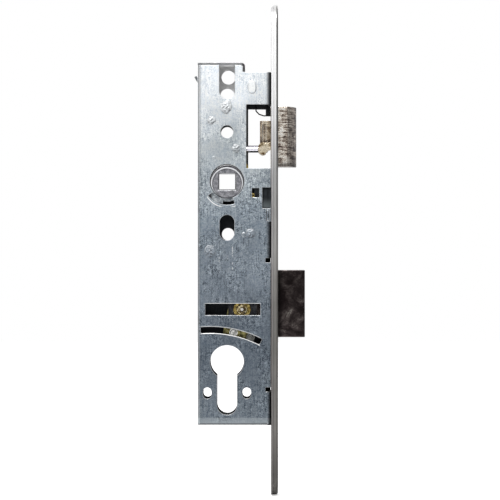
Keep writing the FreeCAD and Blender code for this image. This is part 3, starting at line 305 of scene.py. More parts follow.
def zinc_plate(name, dark=1.0, near=False):
    """Blue bright zinc on sheet steel: cloudy crystals, upright brushing, a painted light gradient from the
    bright top down, painted highlights and painted shade on slopes and edges over bright burrs, and painted
    shade between the plates.
    """
    n = Nodes(name)
    x, y, z = n.axes()
    clouds = n.noise(48.0, 4.0, 0.6, stretch=(1.0, 1.0, 0.75))
    patches = n.minus(clouds, 0.5)
    share = height_share(n, z)
    # Painted light: the tone gets brighter towards the top of the plate
    base = n.ramp(n.plus(share, n.times(patches, 0.22)), PLATE_LIGHT_GRADIENT)
    grain = n.noise(2300.0, 2.0, 0.7)
    brush = n.noise(1.0, 4.0, 0.65, stretch=(3000.0, 3000.0, 150.0))
    mottle = n.noise(1100.0, 3.0, 0.75)
    detail = n.times(n.minus(n.crystals(700.0), 0.5), 0.22)
    for pattern, weight in ((mottle, 0.9), (brush, 0.8), (grain, 1.0)):
        detail = n.plus(detail, n.times(n.minus(pattern, 0.5), weight))
    depth = n.remap(share, 0.95, 0.55, 0.35, 1.0)
    depth = n.times(depth, n.remap(n.noise(110.0, 2.0, 0.5), 0.38, 0.62, 0.45, 1.35))
    contrast = n.times(detail, n.times(depth, 2.9))
    contrast = n.plus(contrast, n.times(patches, 0.75))
    level = n.times(n.math("MAXIMUM", n.plus(contrast, 1.0), 0.3), dark)
    blue = n.mix(1.0, base, BLUE_TINT, "MULTIPLY")
    warm = n.mix(1.0, base, WARM_TINT, "MULTIPLY")
    colour = n.scaled_colour(n.mix(n.remap(detail, -0.16, 0.2), blue, warm), level)
    # Painted highlight on slopes that lean up or to the left, painted shade on those that lean down
    lean = n.slopes()
    colour = n.paint(colour, n.remap(lean, 0.1, 0.5), 0.6, RIM)
    colour = n.paint(colour, n.remap(lean, -0.1, -0.5), 0.6, (0.09, 0.10, 0.11))
    if not near:
        colour = n.mix(roof_edge(n, x, z), colour, CUT_EDGE)
    # Painted shade on all that lies between the plates, painted light behind the top slot, which is also made
    # less metallic
    lit = lit_inside(n, x, z)
    inside = shaded_inside_case(n, x, y, z)
    colour = n.paint(colour, inside, 0.96, n.mix(lit, INSIDE_SHADE, LIT_INSIDE))
    metallic = n.minus(0.9, n.times(inside, lit, 0.9))
    # Painted highlights and painted shade on the edges, over a bright burr on all of them
    colour, soft = n.edge_light_and_shade(colour, 0.5 * MM, RIM, DARK_RIM, burr=0.5)
    if near:
        colour = near_plate_marks(n, colour, x, y, z)
    rough = n.remap(detail, -0.2, 0.25, 0.46, 0.32)
    relief = n.blend(brush, 0.5, mottle, 0.8)
    return n.finish(colour, rough, metallic, relief, 0.35, 0.05 * MM, soft)


def shaded_inside_case(n, x, y, z):
    """1 on what lies between the plates, which is painted in shade, and 0 outside."""
    depth = n.math("ABSOLUTE", n.minus(y, (body_low.y + body_high.y) / 2))
    inner = (body_high.y - body_low.y) / 2 - SHEET
    inside = n.remap(depth, inner + 0.25 * MM, inner + 0.05 * MM)
    skin = 0.3 * SHEET
    inside = n.times(inside, n.math("GREATER_THAN", x, cover_low.x + skin))
    inside = n.times(inside, n.math("GREATER_THAN", z, body_low.z + skin))
    inside = n.times(inside, n.math("LESS_THAN", z, cover_high.z - skin))
    hook = n.times(n.math("GREATER_THAN", x, HOOK_FACE - skin),
                   n.math("GREATER_THAN", z, cover_high.z - HOOK_DROP))
    return n.times(inside, n.minus(1.0, hook))


def lit_inside(n, x, z):
    """1 where the top slot lets the light in."""
    return n.times(n.band(x, *TOP_SLOT_ACROSS, 0.5 * MM), n.band(z, *TOP_SLOT_UP, 0.3 * MM))


def roof_edge(n, x, z):
    """1 on the bare cut edge of the cover's roof and of its hooked end, seen from the near side."""
    front = n.math("LESS_THAN", n.facing("True Normal")["Y"], -0.9)
    high = n.math("GREATER_THAN", z, body_high.z - 0.2 * MM)
    hook = n.times(n.math("GREATER_THAN", x, HOOK_EDGE[0]), n.math("GREATER_THAN", z, HOOK_EDGE[1]))
    return n.times(front, n.math("MAXIMUM", n.times(high, 0.8), hook))


def near_plate_marks(n, colour, x, y, z):
    """Painted bend shadows, a lighter bottom bend and rear edge, a painted highlight on the bump, burrs with
    painted highlights, and layout lines of the near plate.
    """
    # Painted bend shadow along the front bend, from the upper window upwards
    wall = n.remap(x, body_high.x - 3.2 * MM, body_high.x - 0.5 * MM)
    colour = n.paint(colour, n.times(wall, n.remap(z, *UPPER_WALL)), 0.97, (0.012, 0.012, 0.014))
    bottom = n.band(z, body_low.z + 1.1 * MM, body_low.z + 3.4 * MM, 0.7 * MM)
    colour = n.paint(colour, bottom, 0.4, (0.42, 0.46, 0.48))
    # Painted bend shadow along the very foot
    foot = n.remap(z, body_low.z + 0.9 * MM, body_low.z + 0.3 * MM)
    colour = n.paint(colour, foot, 0.85, (0.02, 0.022, 0.025))
    rear = n.remap(x, cover_low.x + 1.3 * MM, cover_low.x + 0.5 * MM)
    rear = n.times(rear, n.remap(y, near_plane + 1.7 * MM, near_plane + 1.0 * MM))
    colour = n.mix(rear, colour, n.scaled_colour(colour, 1.7))
    # Painted bend shadow on the fold of the middle tab
    fold = n.times(n.remap(x, *FOLD_ACROSS), n.band(z, *FOLD_UP, 0.4 * MM))
    colour = n.paint(colour, fold, 0.6, (0.035, 0.038, 0.042))
    # Painted highlight on the oblong bump
    bump = n.times(n.band(x, BUMP[0] - 1.3 * MM, BUMP[0] + 1.3 * MM, 0.7 * MM),
                   n.band(z, BUMP[1] - 1.9 * MM, BUMP[1] + 2.8 * MM, 0.8 * MM))
    colour = n.paint(colour, bump, 0.6, (0.97, 0.97, 0.94))
    barb = n.remap(x, cover_low.x - 0.1 * MM, cover_low.x - 0.4 * MM)
    colour = n.paint(colour, barb, 0.85, (0.05, 0.052, 0.056))
    return scribe_lines(n, burr_and_highlight_lines(n, colour, x, z), x, z)


# Centres of the circles that the burrs and their painted highlights follow, in mm
SWING = (-34.6, -98.3)
HUB = (spindle[0] / MM, spindle[1] / MM)
FAR_BELOW = (-23.0, -1027.25)

# Burrs with painted highlights, in mm: centre, radius, left and right end, lower and upper end, half width,
# and strength
BURRS_AND_HIGHLIGHTS = (
    (HUB, 12.2, -36.0, -21.8, (22.0, 28.0), 0.2, 0.95),
    (SWING, 55.68, -39.4, -9.4, (-60.0, -38.0), 0.16, 0.9),
    (SWING, 59.32, -39.4, -9.4, (-60.0, -38.0), 0.12, 0.55),
    (FAR_BELOW, 1000.0, -37.2, -9.0, (-28.0, -26.0), 0.12, 0.6),
)


def burr_and_highlight_lines(n, colour, x, z):
    """Thin bright lines round the arc slot, the curved slot and the long window, each part of a circle: burrs
    with painted highlights where the cut edges catch the light.
    """
    for (across, up), radius, left, right, (low, high), half_width, amount in BURRS_AND_HIGHLIGHTS:
        away = n.away_from(x, z, across * MM, up * MM)
        off = n.math("ABSOLUTE", n.minus(away, radius * MM))
        line = n.remap(off, 1.8 * half_width * MM, 0.6 * half_width * MM)
        line = n.times(line, n.band(x, left * MM, right * MM, 0.2 * MM))
        line = n.times(line, n.band(z, low * MM, high * MM, 0.2 * MM))
        colour = n.paint(colour, line, amount, RIM)
    return colour


# Layout lines in mm: place across, upper and lower end, and half width
SCRIBES = (
    (-23.2, 1.6, -11.0, 0.13),
    (-23.2, -35.2, -37.4, 0.1),
    (-30.0, -3.6, -6.6, 0.1),
    (-25.6, -3.0, -5.0, 0.1),
)


def scribe_lines(n, colour, x, z):
    """Faint dashed layout lines scratched on the near plate."""
    dashes = n.noise(1.0, 1.0, 0.5, stretch=(120.0, 0.0, 900.0))
    for across, high, low, half_width in SCRIBES:
        aside = n.math("ABSOLUTE", n.minus(x, across * MM))
        line = n.remap(aside, half_width * MM, 2.2 * half_width * MM, 1.0, 0.0)
        inside = n.times(n.math("GREATER_THAN", z, low * MM), n.math("LESS_THAN", z, high * MM))
        mark = n.times(line, inside, n.remap(dashes, 0.42, 0.6))
        colour = n.paint(colour, mark, 0.65, RIM)
    return colour


def staked_end(name):
    """Hammered rivet ends in the plate's tones and painted light gradient, with a painted highlight above and
    painted shade below.
    """
    n = Nodes(name)
    base = n.ramp(height_share(n, n.axes()["Z"]), PLATE_LIGHT_GRADIENT)
    mottle = n.noise(1500.0, 3.0, 0.7)
    colour = n.scaled_colour(base, n.remap(mottle, 0.3, 0.7, 0.5, 1.25))
    # Painted highlight on slopes that lean up, painted shade on those that lean down
    lean = n.slopes()
    colour = n.paint(colour, n.remap(lean, 0.05, 0.45), 0.35, RIM)
    colour = n.paint(colour, n.remap(lean, -0.08, -0.4), 0.7, (0.05, 0.055, 0.062))
    return n.finish(colour, 0.55, 0.5, mottle, 0.4, 0.06 * MM, specular=0.3)


# Forend

# Painted light gradient, dark at the foot of the forend and bright at its top
# Share of the height, red there, and the share of it that green has and of green that blue has
FOREND_LIGHT_GRADIENT = (
    (0.0, 0.10, 0.96), (0.05, 0.172, 0.96), (0.34, 0.232, 0.965), (0.42, 0.34, 0.97), (0.50, 0.40, 0.98),
    (0.66, 0.42, 0.99), (0.74, 0.50, 1.0), (0.85, 0.76, 1.0), (0.95, 0.98, 1.0),
)
FOREND_STRIPES = (
    (0.0, (0.8, 0.78, 0.8)), (0.07, (1.15, 1.12, 1.12)), (0.22, (1.15, 1.15, 1.15)),
    (0.34, (0.72, 0.72, 0.72)), (0.52, (1.22, 1.22, 1.2)), (0.70, (0.95, 0.95, 0.93)),
)


def forend_steel(name):
    """Stainless steel brushed along its length, with a painted light gradient up it, lighter and darker lines
    along its edge, and a dark strip at its front that is strongest towards the top.
    """
    n = Nodes(name)
    x, _, z = n.axes()
    fine = n.noise(1.0, 4.0, 0.65, stretch=(5200.0, 5200.0, 38.0))
    wide = n.noise(1.0, 3.0, 0.6, stretch=(1300.0, 1300.0, 14.0))
    patch = n.noise(70.0, 2.0, 0.5)
    tone = n.blend(fine, 0.5, wide, 0.5)
    along = n.remap(z, forend_low.z, forend_high.z)
    # Painted light: brighter towards the top
    shades = [(place, (grey, grey * warm, grey * warm * warm)) for place, grey, warm in FOREND_LIGHT_GRADIENT]
    base = n.ramp(along, shades)
    level = n.remap(n.plus(tone, n.times(patch, 0.12)), 0.38, 0.72, 0.62, 1.34)
    colour = n.scaled_colour(base, level)
    depth = n.math("DIVIDE", n.minus(x, forend_low.x), forend_high.x - forend_low.x)
    front = n.times(n.remap(depth, 0.70, 0.80), n.remap(along, 0.70, 0.82, 0.2, 0.92))
    stripes = n.mix(front, n.ramp(depth, FOREND_STRIPES), (0.10, 0.095, 0.095))
    side = n.remap(n.math("ABSOLUTE", n.facing("True Normal")["Y"]), 0.35, 0.6)
    colour = n.mix(side, colour, n.mix(1.0, colour, stripes, "MULTIPLY"))
    soft = n.sharp_edges(0.2 * MM)[1]
    rough = n.remap(tone, 0.35, 0.7, 0.38, 0.26)
    return n.finish(colour, rough, 1.0, tone, 0.25, 0.04 * MM, soft)


# Latch, bolt and the smaller parts

NECK_ROOT = -3.7
LATCH_SEAM_RISE = 9.9 * MM
# Painted reflections in streaks on the flat of the latch
LATCH_REFLECTION_STREAKS = (
    (0.0, (0.06, 0.046, 0.04)), (0.25, (0.24, 0.19, 0.155)), (0.5, (0.58, 0.50, 0.42)),
    (0.75, (0.92, 0.86, 0.76)), (1.0, (1.0, 0.98, 0.93)),
)
# Painted reflections on the bevel
LATCH_BEVEL = ((0.0, (0.03, 0.025, 0.028)), (0.45, (0.135, 0.112, 0.098)), (1.0, (0.50, 0.44, 0.385)))
# Blotches on the neck, whose brightest are painted highlights
NECK_SPOTS = (
    (0.0, (0.03, 0.017, 0.01)), (0.35, (0.20, 0.13, 0.065)), (0.62, (0.55, 0.44, 0.28)),
    (1.0, (0.88, 0.78, 0.6)),
)
# Painted highlights and painted shade in bands across the neck
NECK_LIGHT_BANDS = (
    (0.0, (0.16, 0.11, 0.08)), (0.16, (0.30, 0.22, 0.16)), (0.28, (0.8, 0.75, 0.68)),
    (0.44, (0.46, 0.4, 0.34)), (0.56, (0.2, 0.16, 0.13)), (0.72, (0.75, 0.70, 0.62)),
    (0.86, (0.34, 0.27, 0.2)), (1.0, (0.1, 0.08, 0.07)),
)


def latch_nickel(name):
    """Nickel latch: painted reflection streaks of tan and grey on the flat, a greyer bevel with painted
    reflections of its own, a painted glint, painted highlight and shade bands across the neck, dark at the
    foot.
    """
    n = Nodes(name)
    x, _, z = n.axes()
    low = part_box("latch_head")[0]
    seam = low.z + LATCH_SEAM_RISE
    across = n.noise(1.0, 4.0, 0.75, stretch=(190.0, 190.0, 1500.0), distortion=0.2)
    along = n.noise(1.0, 3.0, 0.65, stretch=(1700.0, 700.0, 150.0), distortion=0.3)
    blotch = n.noise(260.0, 3.0, 0.7)
    mixed = n.plus(n.blend(across, 0.52, along, 0.16), n.times(blotch, 0.32))
    # Painted glint on the flat
    glint_x = n.remap(n.math("ABSOLUTE", n.minus(x, 1.9 * MM)), 1.5 * MM, 0.2 * MM)
    glint_z = n.remap(n.math("ABSOLUTE", n.minus(z, seam + 8.0 * MM)), 5.5 * MM, 0.5 * MM)
    mixed = n.plus(mixed, n.times(glint_x, glint_z, 0.07))
    tones = n.mix(n.near_faces(0.2, 0.4), n.remap(mixed, 0.1, 0.8), n.remap(mixed, 0.40, 0.60))
    neck = n.ramp(n.remap(blotch, 0.36, 0.62), NECK_SPOTS)
    neck_bands = n.ramp(n.remap(x, low.x, NECK_ROOT * MM), NECK_LIGHT_BANDS)
    neck = n.paint(neck, n.remap(z, low.z + 12.0 * MM, low.z + 14.0 * MM), 0.55, neck_bands)
    colour = n.mix(n.remap(x, 3.9 * MM, 8.0 * MM), n.ramp(tones, LATCH_REFLECTION_STREAKS), n.ramp(tones, LATCH_BEVEL))
    colour = n.mix(n.remap(x, (NECK_ROOT + 0.3) * MM, NECK_ROOT * MM), colour, neck)
    foot = n.remap(z, low.z + 3.2 * MM, low.z + 0.6 * MM)
    colour = n.paint(colour, foot, 0.72, (0.05, 0.045, 0.045))
    line = n.times(n.band(z, seam - 0.25 * MM, seam + 0.25 * MM, 0.2 * MM),
                   n.band(x, 0.0, 4.7 * MM, 0.5 * MM))
    colour = n.paint(colour, line, 0.8, (0.05, 0.012, 0.014))
    # Painted highlights and painted shade on the edges
    colour, soft = n.edge_light_and_shade(colour, 0.35 * MM, (0.95, 0.9, 0.8), (0.04, 0.034, 0.03), 0.6)
    return n.finish(colour, 0.24, 1.0, mixed, 0.4, 0.14 * MM, soft)


# Painted reflection of a dark room, with lighter smudges
BOLT_REFLECTION_AND_SMUDGES = (
    (0.0, (0.028, 0.021, 0.021)), (0.45, (0.064, 0.05, 0.049)), (0.8, (0.15, 0.125, 0.118)),
    (1.0, (0.36, 0.33, 0.30)),
)
BOLT_PLAIN = ((0.0, (0.17, 0.162, 0.158)), (1.0, (0.31, 0.30, 0.29)))


def bolt_nickel(name):
    """Polished deadbolt with a painted reflection of a dark room, smudges and a few bright flecks."""
    n = Nodes(name)
    smudge = n.noise(130.0, 4.0, 0.6, distortion=0.5)
    fleck = n.noise(1500.0, 2.0, 0.6)
    mixed = n.blend(smudge, 0.8, fleck, 0.2)
    near = n.near_faces(0.5, 0.8)
    lines = n.noise(1.0, 3.0, 0.6, stretch=(260.0, 260.0, 2600.0))
    plain = n.ramp(n.remap(lines, 0.3, 0.7), BOLT_PLAIN)
    colour = n.mix(near, plain, n.ramp(n.remap(mixed, 0.38, 0.68), BOLT_REFLECTION_AND_SMUDGES))
    left = n.times(n.remap(n.axes()["X"], 3.0 * MM, 0.5 * MM), near)
    colour = n.paint(colour, left, 0.75, (0.008, 0.007, 0.007))
    on_edge, soft = n.sharp_edges(0.25 * MM)
    colour = n.paint(colour, on_edge, 0.5, (0.4, 0.37, 0.34))
    return n.finish(colour, 0.13, 1.0, smudge, 0.2, 0.3 * MM, soft)


LUG_EDGE = (11.35 * MM, 11.6 * MM)
RING_CLOUDS = ((0.0, (0.11, 0.125, 0.14)), (0.5, (0.27, 0.295, 0.315)), (1.0, (0.5, 0.53, 0.55)))


def stop_ring_zinc(name):
    """The ring with the lug in the arc slot: mottled grey with a dark line of painted shade round the lug and
    a painted shadow at the left end of the slot.
    """
    n = Nodes(name)
    x, y, z = n.axes()
    cloud = n.noise(700.0, 4.0, 0.65)
    colour = n.ramp(n.remap(cloud, 0.36, 0.64), RING_CLOUDS)
    # Painted shade in the gap beyond the lug's edge
    outer = n.remap(n.away_from(x, z, *spindle), *LUG_EDGE)
    colour = n.paint(colour, outer, 0.95, (0.012, 0.012, 0.014))
    # Painted shadow at the left end of the arc slot
    left = n.times(n.remap(x, -33.2 * MM, -34.2 * MM), n.remap(y, -6.6 * MM, -6.9 * MM))
    colour = n.paint(colour, left, 0.9, (0.02, 0.02, 0.023))
    soft = n.sharp_edges(0.18 * MM)[1]
    return n.finish(colour, 0.4, 1.0, cloud, 0.3, 0.06 * MM, soft)


def turned(name, dark, light, rough=0.25, scale=420.0):
    """Small plated or turned parts: fine cloudy variation, brighter on edges that wear."""
    n = Nodes(name)
    cloud = n.noise(scale, 4.0, 0.6)
    fine = n.noise(scale * 7.0, 2.0, 0.6)
    mixed = n.blend(cloud, 0.7, fine, 0.3)
    colour = n.ramp(n.remap(mixed, 0.35, 0.68), [(0.0, dark), (1.0, light)])
    on_edge, soft = n.sharp_edges(0.18 * MM)
    bright = tuple(min(1.0, 1.25 * c + 0.05) for c in light)
    colour = n.paint(colour, on_edge, 0.6, bright)
    gloss = n.remap(mixed, 0.3, 0.7, rough + 0.08, rough - 0.04)
    return n.finish(colour, gloss, 1.0, mixed, 0.2, 0.06 * MM, soft)


ROD_LIGHT_AND_SHADE = (
    (0.0, (0.80, 0.78, 0.86)), (0.22, (0.95, 0.93, 0.98)), (0.42, (0.40, 0.36, 0.46)),
    (0.62, (0.05, 0.035, 0.06)), (1.0, (0.02, 0.014, 0.025)),
)


def round_rod(name):
    """A polished round rod: a pale lavender painted highlight along its near and far sides, painted shade
    above and below.
    """
    n = Nodes(name)
    # Painted highlight where the rod faces the near or far side, painted shade where it faces up or down
    flank = n.minus(1.0, n.math("ABSOLUTE", n.facing()["Y"]))
    lines = n.noise(1.0, 3.0, 0.6, stretch=(300.0, 4200.0, 4200.0))
    colour = n.scaled_colour(n.ramp(flank, ROD_LIGHT_AND_SHADE), n.remap(lines, 0.3, 0.7, 0.8, 1.1))
    return n.finish(colour, 0.2, 1.0, lines, 0.15, 0.02 * MM)


# Smears of tone whose brightest are painted highlights
STUD_SMEARS = ((0.0, (0.3, 0.3, 0.28)), (1.0, (0.92, 0.92, 0.88)))
BRASS_SMEARS = ((0.0, (0.05, 0.035, 0.02)), (0.5, (0.38, 0.28, 0.12)), (1.0, (0.95, 0.85, 0.55)))


def stud_steel(name):
    """Turned studs with a painted highlight at the centre, a dark ring, and smears of brass round it that
    carry painted highlights.
    """
    n = Nodes(name)
    x, _, z = n.axes()
    low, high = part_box("bolt_stud")
    radius = n.away_from(x, z, (low.x + high.x) / 2, (low.z + high.z) / 2)
    smear = n.noise(650.0, 4.0, 0.7, distortion=0.8)
    bright = n.ramp(n.remap(smear, 0.36, 0.6), STUD_SMEARS)
    brass = n.ramp(n.remap(smear, 0.38, 0.62), BRASS_SMEARS)
    # Painted highlight at the centre
    colour = n.mix(n.remap(radius, 0.6 * MM, 0.9 * MM), (0.92, 0.9, 0.85), brass)
    dark_ring = n.band(radius, 0.95 * MM, 1.25 * MM, 0.2 * MM)
    colour = n.paint(colour, dark_ring, 0.8, (0.03, 0.02, 0.012))
    colour = n.mix(n.remap(radius, 3.0 * MM, 3.2 * MM), colour, bright)
    second = n.times(n.remap(x, -18.0 * MM, -17.0 * MM), n.remap(z, high.z - MM, low.z - MM))
    colour = n.paint(colour, second, 0.85, (0.06, 0.06, 0.055))
    soft = n.sharp_edges(0.2 * MM)[1]
    return n.finish(colour, 0.22, 1.0, smear, 0.3, 0.06 * MM, soft)


def black_steel(name):
    """Blackened wire, oily and almost matt."""
    n = Nodes(name)
    cloud = n.noise(1500.0, 2.0, 0.6)
    colour = n.ramp(cloud, [(0.3, (0.004, 0.004, 0.005)), (0.7, (0.014, 0.014, 0.016))])
    return n.finish(colour, n.remap(cloud, 0.3, 0.7, 0.5, 0.65), 0.3, cloud, 0.15, 0.02 * MM, specular=0.3)


HUB_CLOUDS = ((0.0, (0.13, 0.135, 0.15)), (0.5, (0.25, 0.25, 0.27)), (1.0, (0.46, 0.46, 0.49)))
HUB_RING = (7.75 * MM, 8.1 * MM)
HUB_LINE = (7.15 * MM, 7.35 * MM)
# Painted shade at the hub's outer edge, in the gap to the plate
HUB_GAP_SHADE = (8.3 * MM, 8.45 * MM)


def hub_zinc(name):
    """The spindle hub: satin face with a bright turned ring, a dark line round it, and painted shade at its
    outer edge next to the plate.
    """
    n = Nodes(name)
    x, _, z = n.axes()
    radius = n.away_from(x, z, *spindle)
    cloud = n.noise(420.0, 4.0, 0.6)
    fine = n.noise(2200.0, 2.0, 0.7)
    mixed = n.blend(cloud, 0.6, fine, 0.4)
    colour = n.ramp(n.remap(mixed, 0.36, 0.64), HUB_CLOUDS)
    ring = n.band(radius, *HUB_RING, 0.2 * MM)
    colour = n.paint(colour, ring, 0.85, (0.86, 0.87, 0.88))
    colour = n.paint(colour, n.band(radius, *HUB_LINE, 0.2 * MM), 0.6, (0.06, 0.06, 0.07))
    # Painted shade at the outer edge of the hub
    colour = n.paint(colour, n.remap(radius, *HUB_GAP_SHADE), 0.85, (0.035, 0.035, 0.04))
    # Painted highlights and painted shade on the edges
    colour, soft = n.edge_light_and_shade(colour, 0.45 * MM, RIM, (0.05, 0.05, 0.06), 0.8)
    height = n.blend(mixed, 0.4, ring, 0.8)
    return n.finish(colour, 0.36, 0.9, height, 0.35, 0.12 * MM, soft)


def nylon(name):
    """Black moulded nylon with a faint sheen and flow marks."""
    n = Nodes(name)
    x, _, z = n.axes()
    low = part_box("plunger_guide")[0]
    flow = n.noise(1.0, 3.0, 0.6, stretch=(900.0, 900.0, 240.0))
    grain = n.noise(4000.0, 2.0, 0.5)
    colour = n.ramp(flow, [(0.35, (0.004, 0.005, 0.006)), (0.7, (0.022, 0.026, 0.03))])
    foot = n.times(n.remap(z, low.z + 6.0 * MM, low.z + 0.5 * MM), n.remap(x, -8.4 * MM, -7.2 * MM))
    colour = n.paint(colour, foot, 0.75, (0.13, 0.15, 0.155))
    on_edge, soft = n.sharp_edges(0.15 * MM)
    colour = n.paint(colour, on_edge, 0.4, (0.12, 0.13, 0.14))
    rough = n.remap(grain, 0.3, 0.7, 0.42, 0.55)
    return n.finish(colour, rough, 0.0, grain, 0.15, 0.03 * MM, soft, specular=0.12)


MATERIALS = {
    "forend_steel": forend_steel("forend_steel"),
    "case_zinc": zinc_plate("case_zinc", near=True),
    "cover_zinc": zinc_plate("cover_zinc", dark=0.92),
    "screw_steel": turned("screw_steel", (0.32, 0.33, 0.34), (0.62, 0.63, 0.64)),
    "staked_steel": staked_end("staked_steel"),
    "black_wire": black_steel("black_wire"),
    "latch_nickel": latch_nickel("latch_nickel"),
    "rod_steel": round_rod("rod_steel"),
    "spring_steel": turned("spring_steel", (0.1, 0.1, 0.11), (0.4, 0.4, 0.42)),
    "hub_zinc": hub_zinc("hub_zinc"),
    "ring_zinc": stop_ring_zinc("ring_zinc"),
    "lever_yellow": turned("lever_yellow", (0.3, 0.22, 0.06), (0.8, 0.62, 0.2)),
    "black_nylon": nylon("black_nylon"),
    "bolt_nickel": bolt_nickel("bolt_nickel"),
    "tail_steel": turned("tail_steel", (0.012, 0.013, 0.016), (0.075, 0.075, 0.08), 0.32),
    "stud_steel": stud_steel("stud_steel"),
    "bush_brass": turned("bush_brass", (0.09, 0.055, 0.012), (0.95, 0.74, 0.25), 0.2, scale=700.0),
    "carriage_yellow": turned("carriage_yellow", (0.05, 0.045, 0.02), (0.42, 0.38, 0.16), 0.3, scale=600.0),
}


def dress(piece, slot):
    """Gives a piece the finish of a material slot."""
    piece.data.materials.clear()
    piece.data.materials.append(MATERIALS[slot])


slot_of = {part["node"]: part["material_slot"] for part in frame["record"]["subparts"]}
for node_name, node in nodes.items():
    for slot_place in node.material_slots:
        slot_place.material = MATERIALS[slot_of[node_name]]


# Wound springs against the pieces they press

def new_piece(name, mesh):
    """Makes an object out of a bmesh and frees the bmesh."""
    data = bpy.data.meshes.new(name)
    mesh.to_mesh(data)
    mesh.free()
    piece = bpy.data.objects.new(name, data)
    bpy.context.scene.collection.objects.link(piece)
    return piece


def tube(name, points, radius, sides):
    """A round wire as a mesh along a list of points."""
    mesh = bmesh.new()
    rings = []
    # Any direction that the wire doesn't run in
    side = Vector((0.31, 0.87, 0.38))
    for index, point in enumerate(points):
        ahead = points[min(index + 1, len(points) - 1)]
        behind = points[max(index - 1, 0)]
        way = (ahead - behind).normalized()
        side = (side - way * side.dot(way)).normalized()
        other = way.cross(side)
        ring = []
        for step in range(sides):
            turn = 2 * math.pi * step / sides
            ring.append(mesh.verts.new(point + radius * (math.cos(turn) * side + math.sin(turn) * other)))
        rings.append(ring)
    for first, second in zip(rings, rings[1:]):
        for step in range(sides):
            after = (step + 1) % sides
            face = mesh.faces.new((first[step], first[after], second[after], second[step]))
            face.smooth = True
    mesh.faces.new(rings[0][::-1])
    mesh.faces.new(rings[-1])
    return new_piece(name, mesh)


def coil_points(centre, radius, pitch, start, turns, per_turn):
    """Points of a coil about Y, counter-clockwise seen from the near side."""
    count = int(round(turns * per_turn))
    points = []
    for step in range(count + 1):
        turned_by = turns * step / count
        angle = math.radians(start) + 2 * math.pi * turned_by
        points.append(Vector((centre.x + radius * math.cos(angle), centre.y + pitch * turned_by,
                              centre.z + radius * math.sin(angle))))
    return points


def run_between(first, last, count):
    """Evenly spread points from the first to the last, the first left out."""
    return [first.lerp(last, (step + 1) / count) for step in range(count)]


LATCH_WIRE = 0.55 * MM
LATCH_COIL = 3.4 * MM
LATCH_COIL_START = -0.4 * MM
LATCH_PITCH = 1.6 * MM
LATCH_LEG_ANGLE = 300.0
# On round to the left side, which is at 540 degrees, and two turns more
LATCH_TURNS = (540.0 - LATCH_LEG_ANGLE + 720.0) / 360.0
LATCH_STEPS = 28
LATCH_SIDES = 14
ANCHOR_LEG = 13.0
KNEE_HEIGHT = 59.5 * MM
ANKLE_HEIGHT = 55.0 * MM
TOE_HEIGHT = 48.4 * MM


def make_latch_spring():
    """The torsion spring of the latch. Its long leg rests against the collar."""
    pillar_low, pillar_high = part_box("upper_pillar")
    collar_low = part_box("latch_collar")[0]
    centre = Vector(((pillar_low.x + pillar_high.x) / 2, LATCH_COIL_START,
                     (pillar_low.z + pillar_high.z) / 2))
    coil = coil_points(centre, LATCH_COIL, LATCH_PITCH, LATCH_LEG_ANGLE, LATCH_TURNS, LATCH_STEPS)
    away = (coil[0] - coil[1]).normalized()
    anchor = coil[0] + away * ANCHOR_LEG * MM
    press_x = collar_low.x - LATCH_WIRE - 0.05 * MM
    leg_y = coil[-1].y + 0.1 * MM
    knee = Vector((coil[-1].x - 0.3 * MM, leg_y, KNEE_HEIGHT))
    ankle = Vector((press_x, leg_y, ANKLE_HEIGHT))
    toe = Vector((press_x, leg_y, TOE_HEIGHT))
    points = [anchor] + run_between(anchor, coil[0], 6) + coil[1:]
    points += run_between(coil[-1], knee, 10) + run_between(knee, ankle, 6) + run_between(ankle, toe, 6)
    spring = tube("latch_spring_wound", points, LATCH_WIRE, LATCH_SIDES)
    dress(spring, "spring_steel")
    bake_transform(spring)
    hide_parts("latch_spring")


RETURN_WIRE = 0.3 * MM
RETURN_COIL = 1.6 * MM
RETURN_TURNS = 8
RETURN_STEPS = 26
RETURN_SIDES = 10


def make_return_spring():
    """The compression spring of the follower, wound over the length of the CAD spring."""
    low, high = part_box("return_spring")
    centre = (low + high) / 2
    length = high.x - low.x - 2 * RETURN_WIRE
    points = []
    count = RETURN_TURNS * RETURN_STEPS
    for step in range(count + 1):
        angle = 2 * math.pi * RETURN_TURNS * step / count
        points.append(Vector((low.x + RETURN_WIRE + length * step / count, RETURN_COIL * math.cos(angle),
                              centre.z + RETURN_COIL * math.sin(angle))))
    spring = tube("return_spring_wound", points, RETURN_WIRE, RETURN_SIDES)
    dress(spring, "spring_steel")
    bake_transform(spring)
    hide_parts("return_spring")


make_latch_spring()
make_return_spring()


# Hammered ends of the pillars and pins on the near plate

STAKE_HEIGHT = 0.5 * MM
STAKE_SINK = 0.05 * MM
STAKE_RINGS = 14
STAKE_SIDES = 48
OUTLINE_SCALE = 1.7
DENT_SCALE = 1100
# Height of the rod guide's end, which isn't in the middle of its box
ROD_GUIDE_STAKE = 51.6 * MM

# Owner, radius in mm, which of the uneven forms it has, and how ragged its outline is
STAKES = (
    ("upper_pillar", 3.1, 5, 0.3),
    ("rear_pillar", 2.9, 6, 0.25),
    ("front_pillar", 2.4, 5, 0.25),
    ("spring_anchor_pin", 2.1, 4, 0.3),
    ("rod_guide", 2.0, 4, 0.3),
)


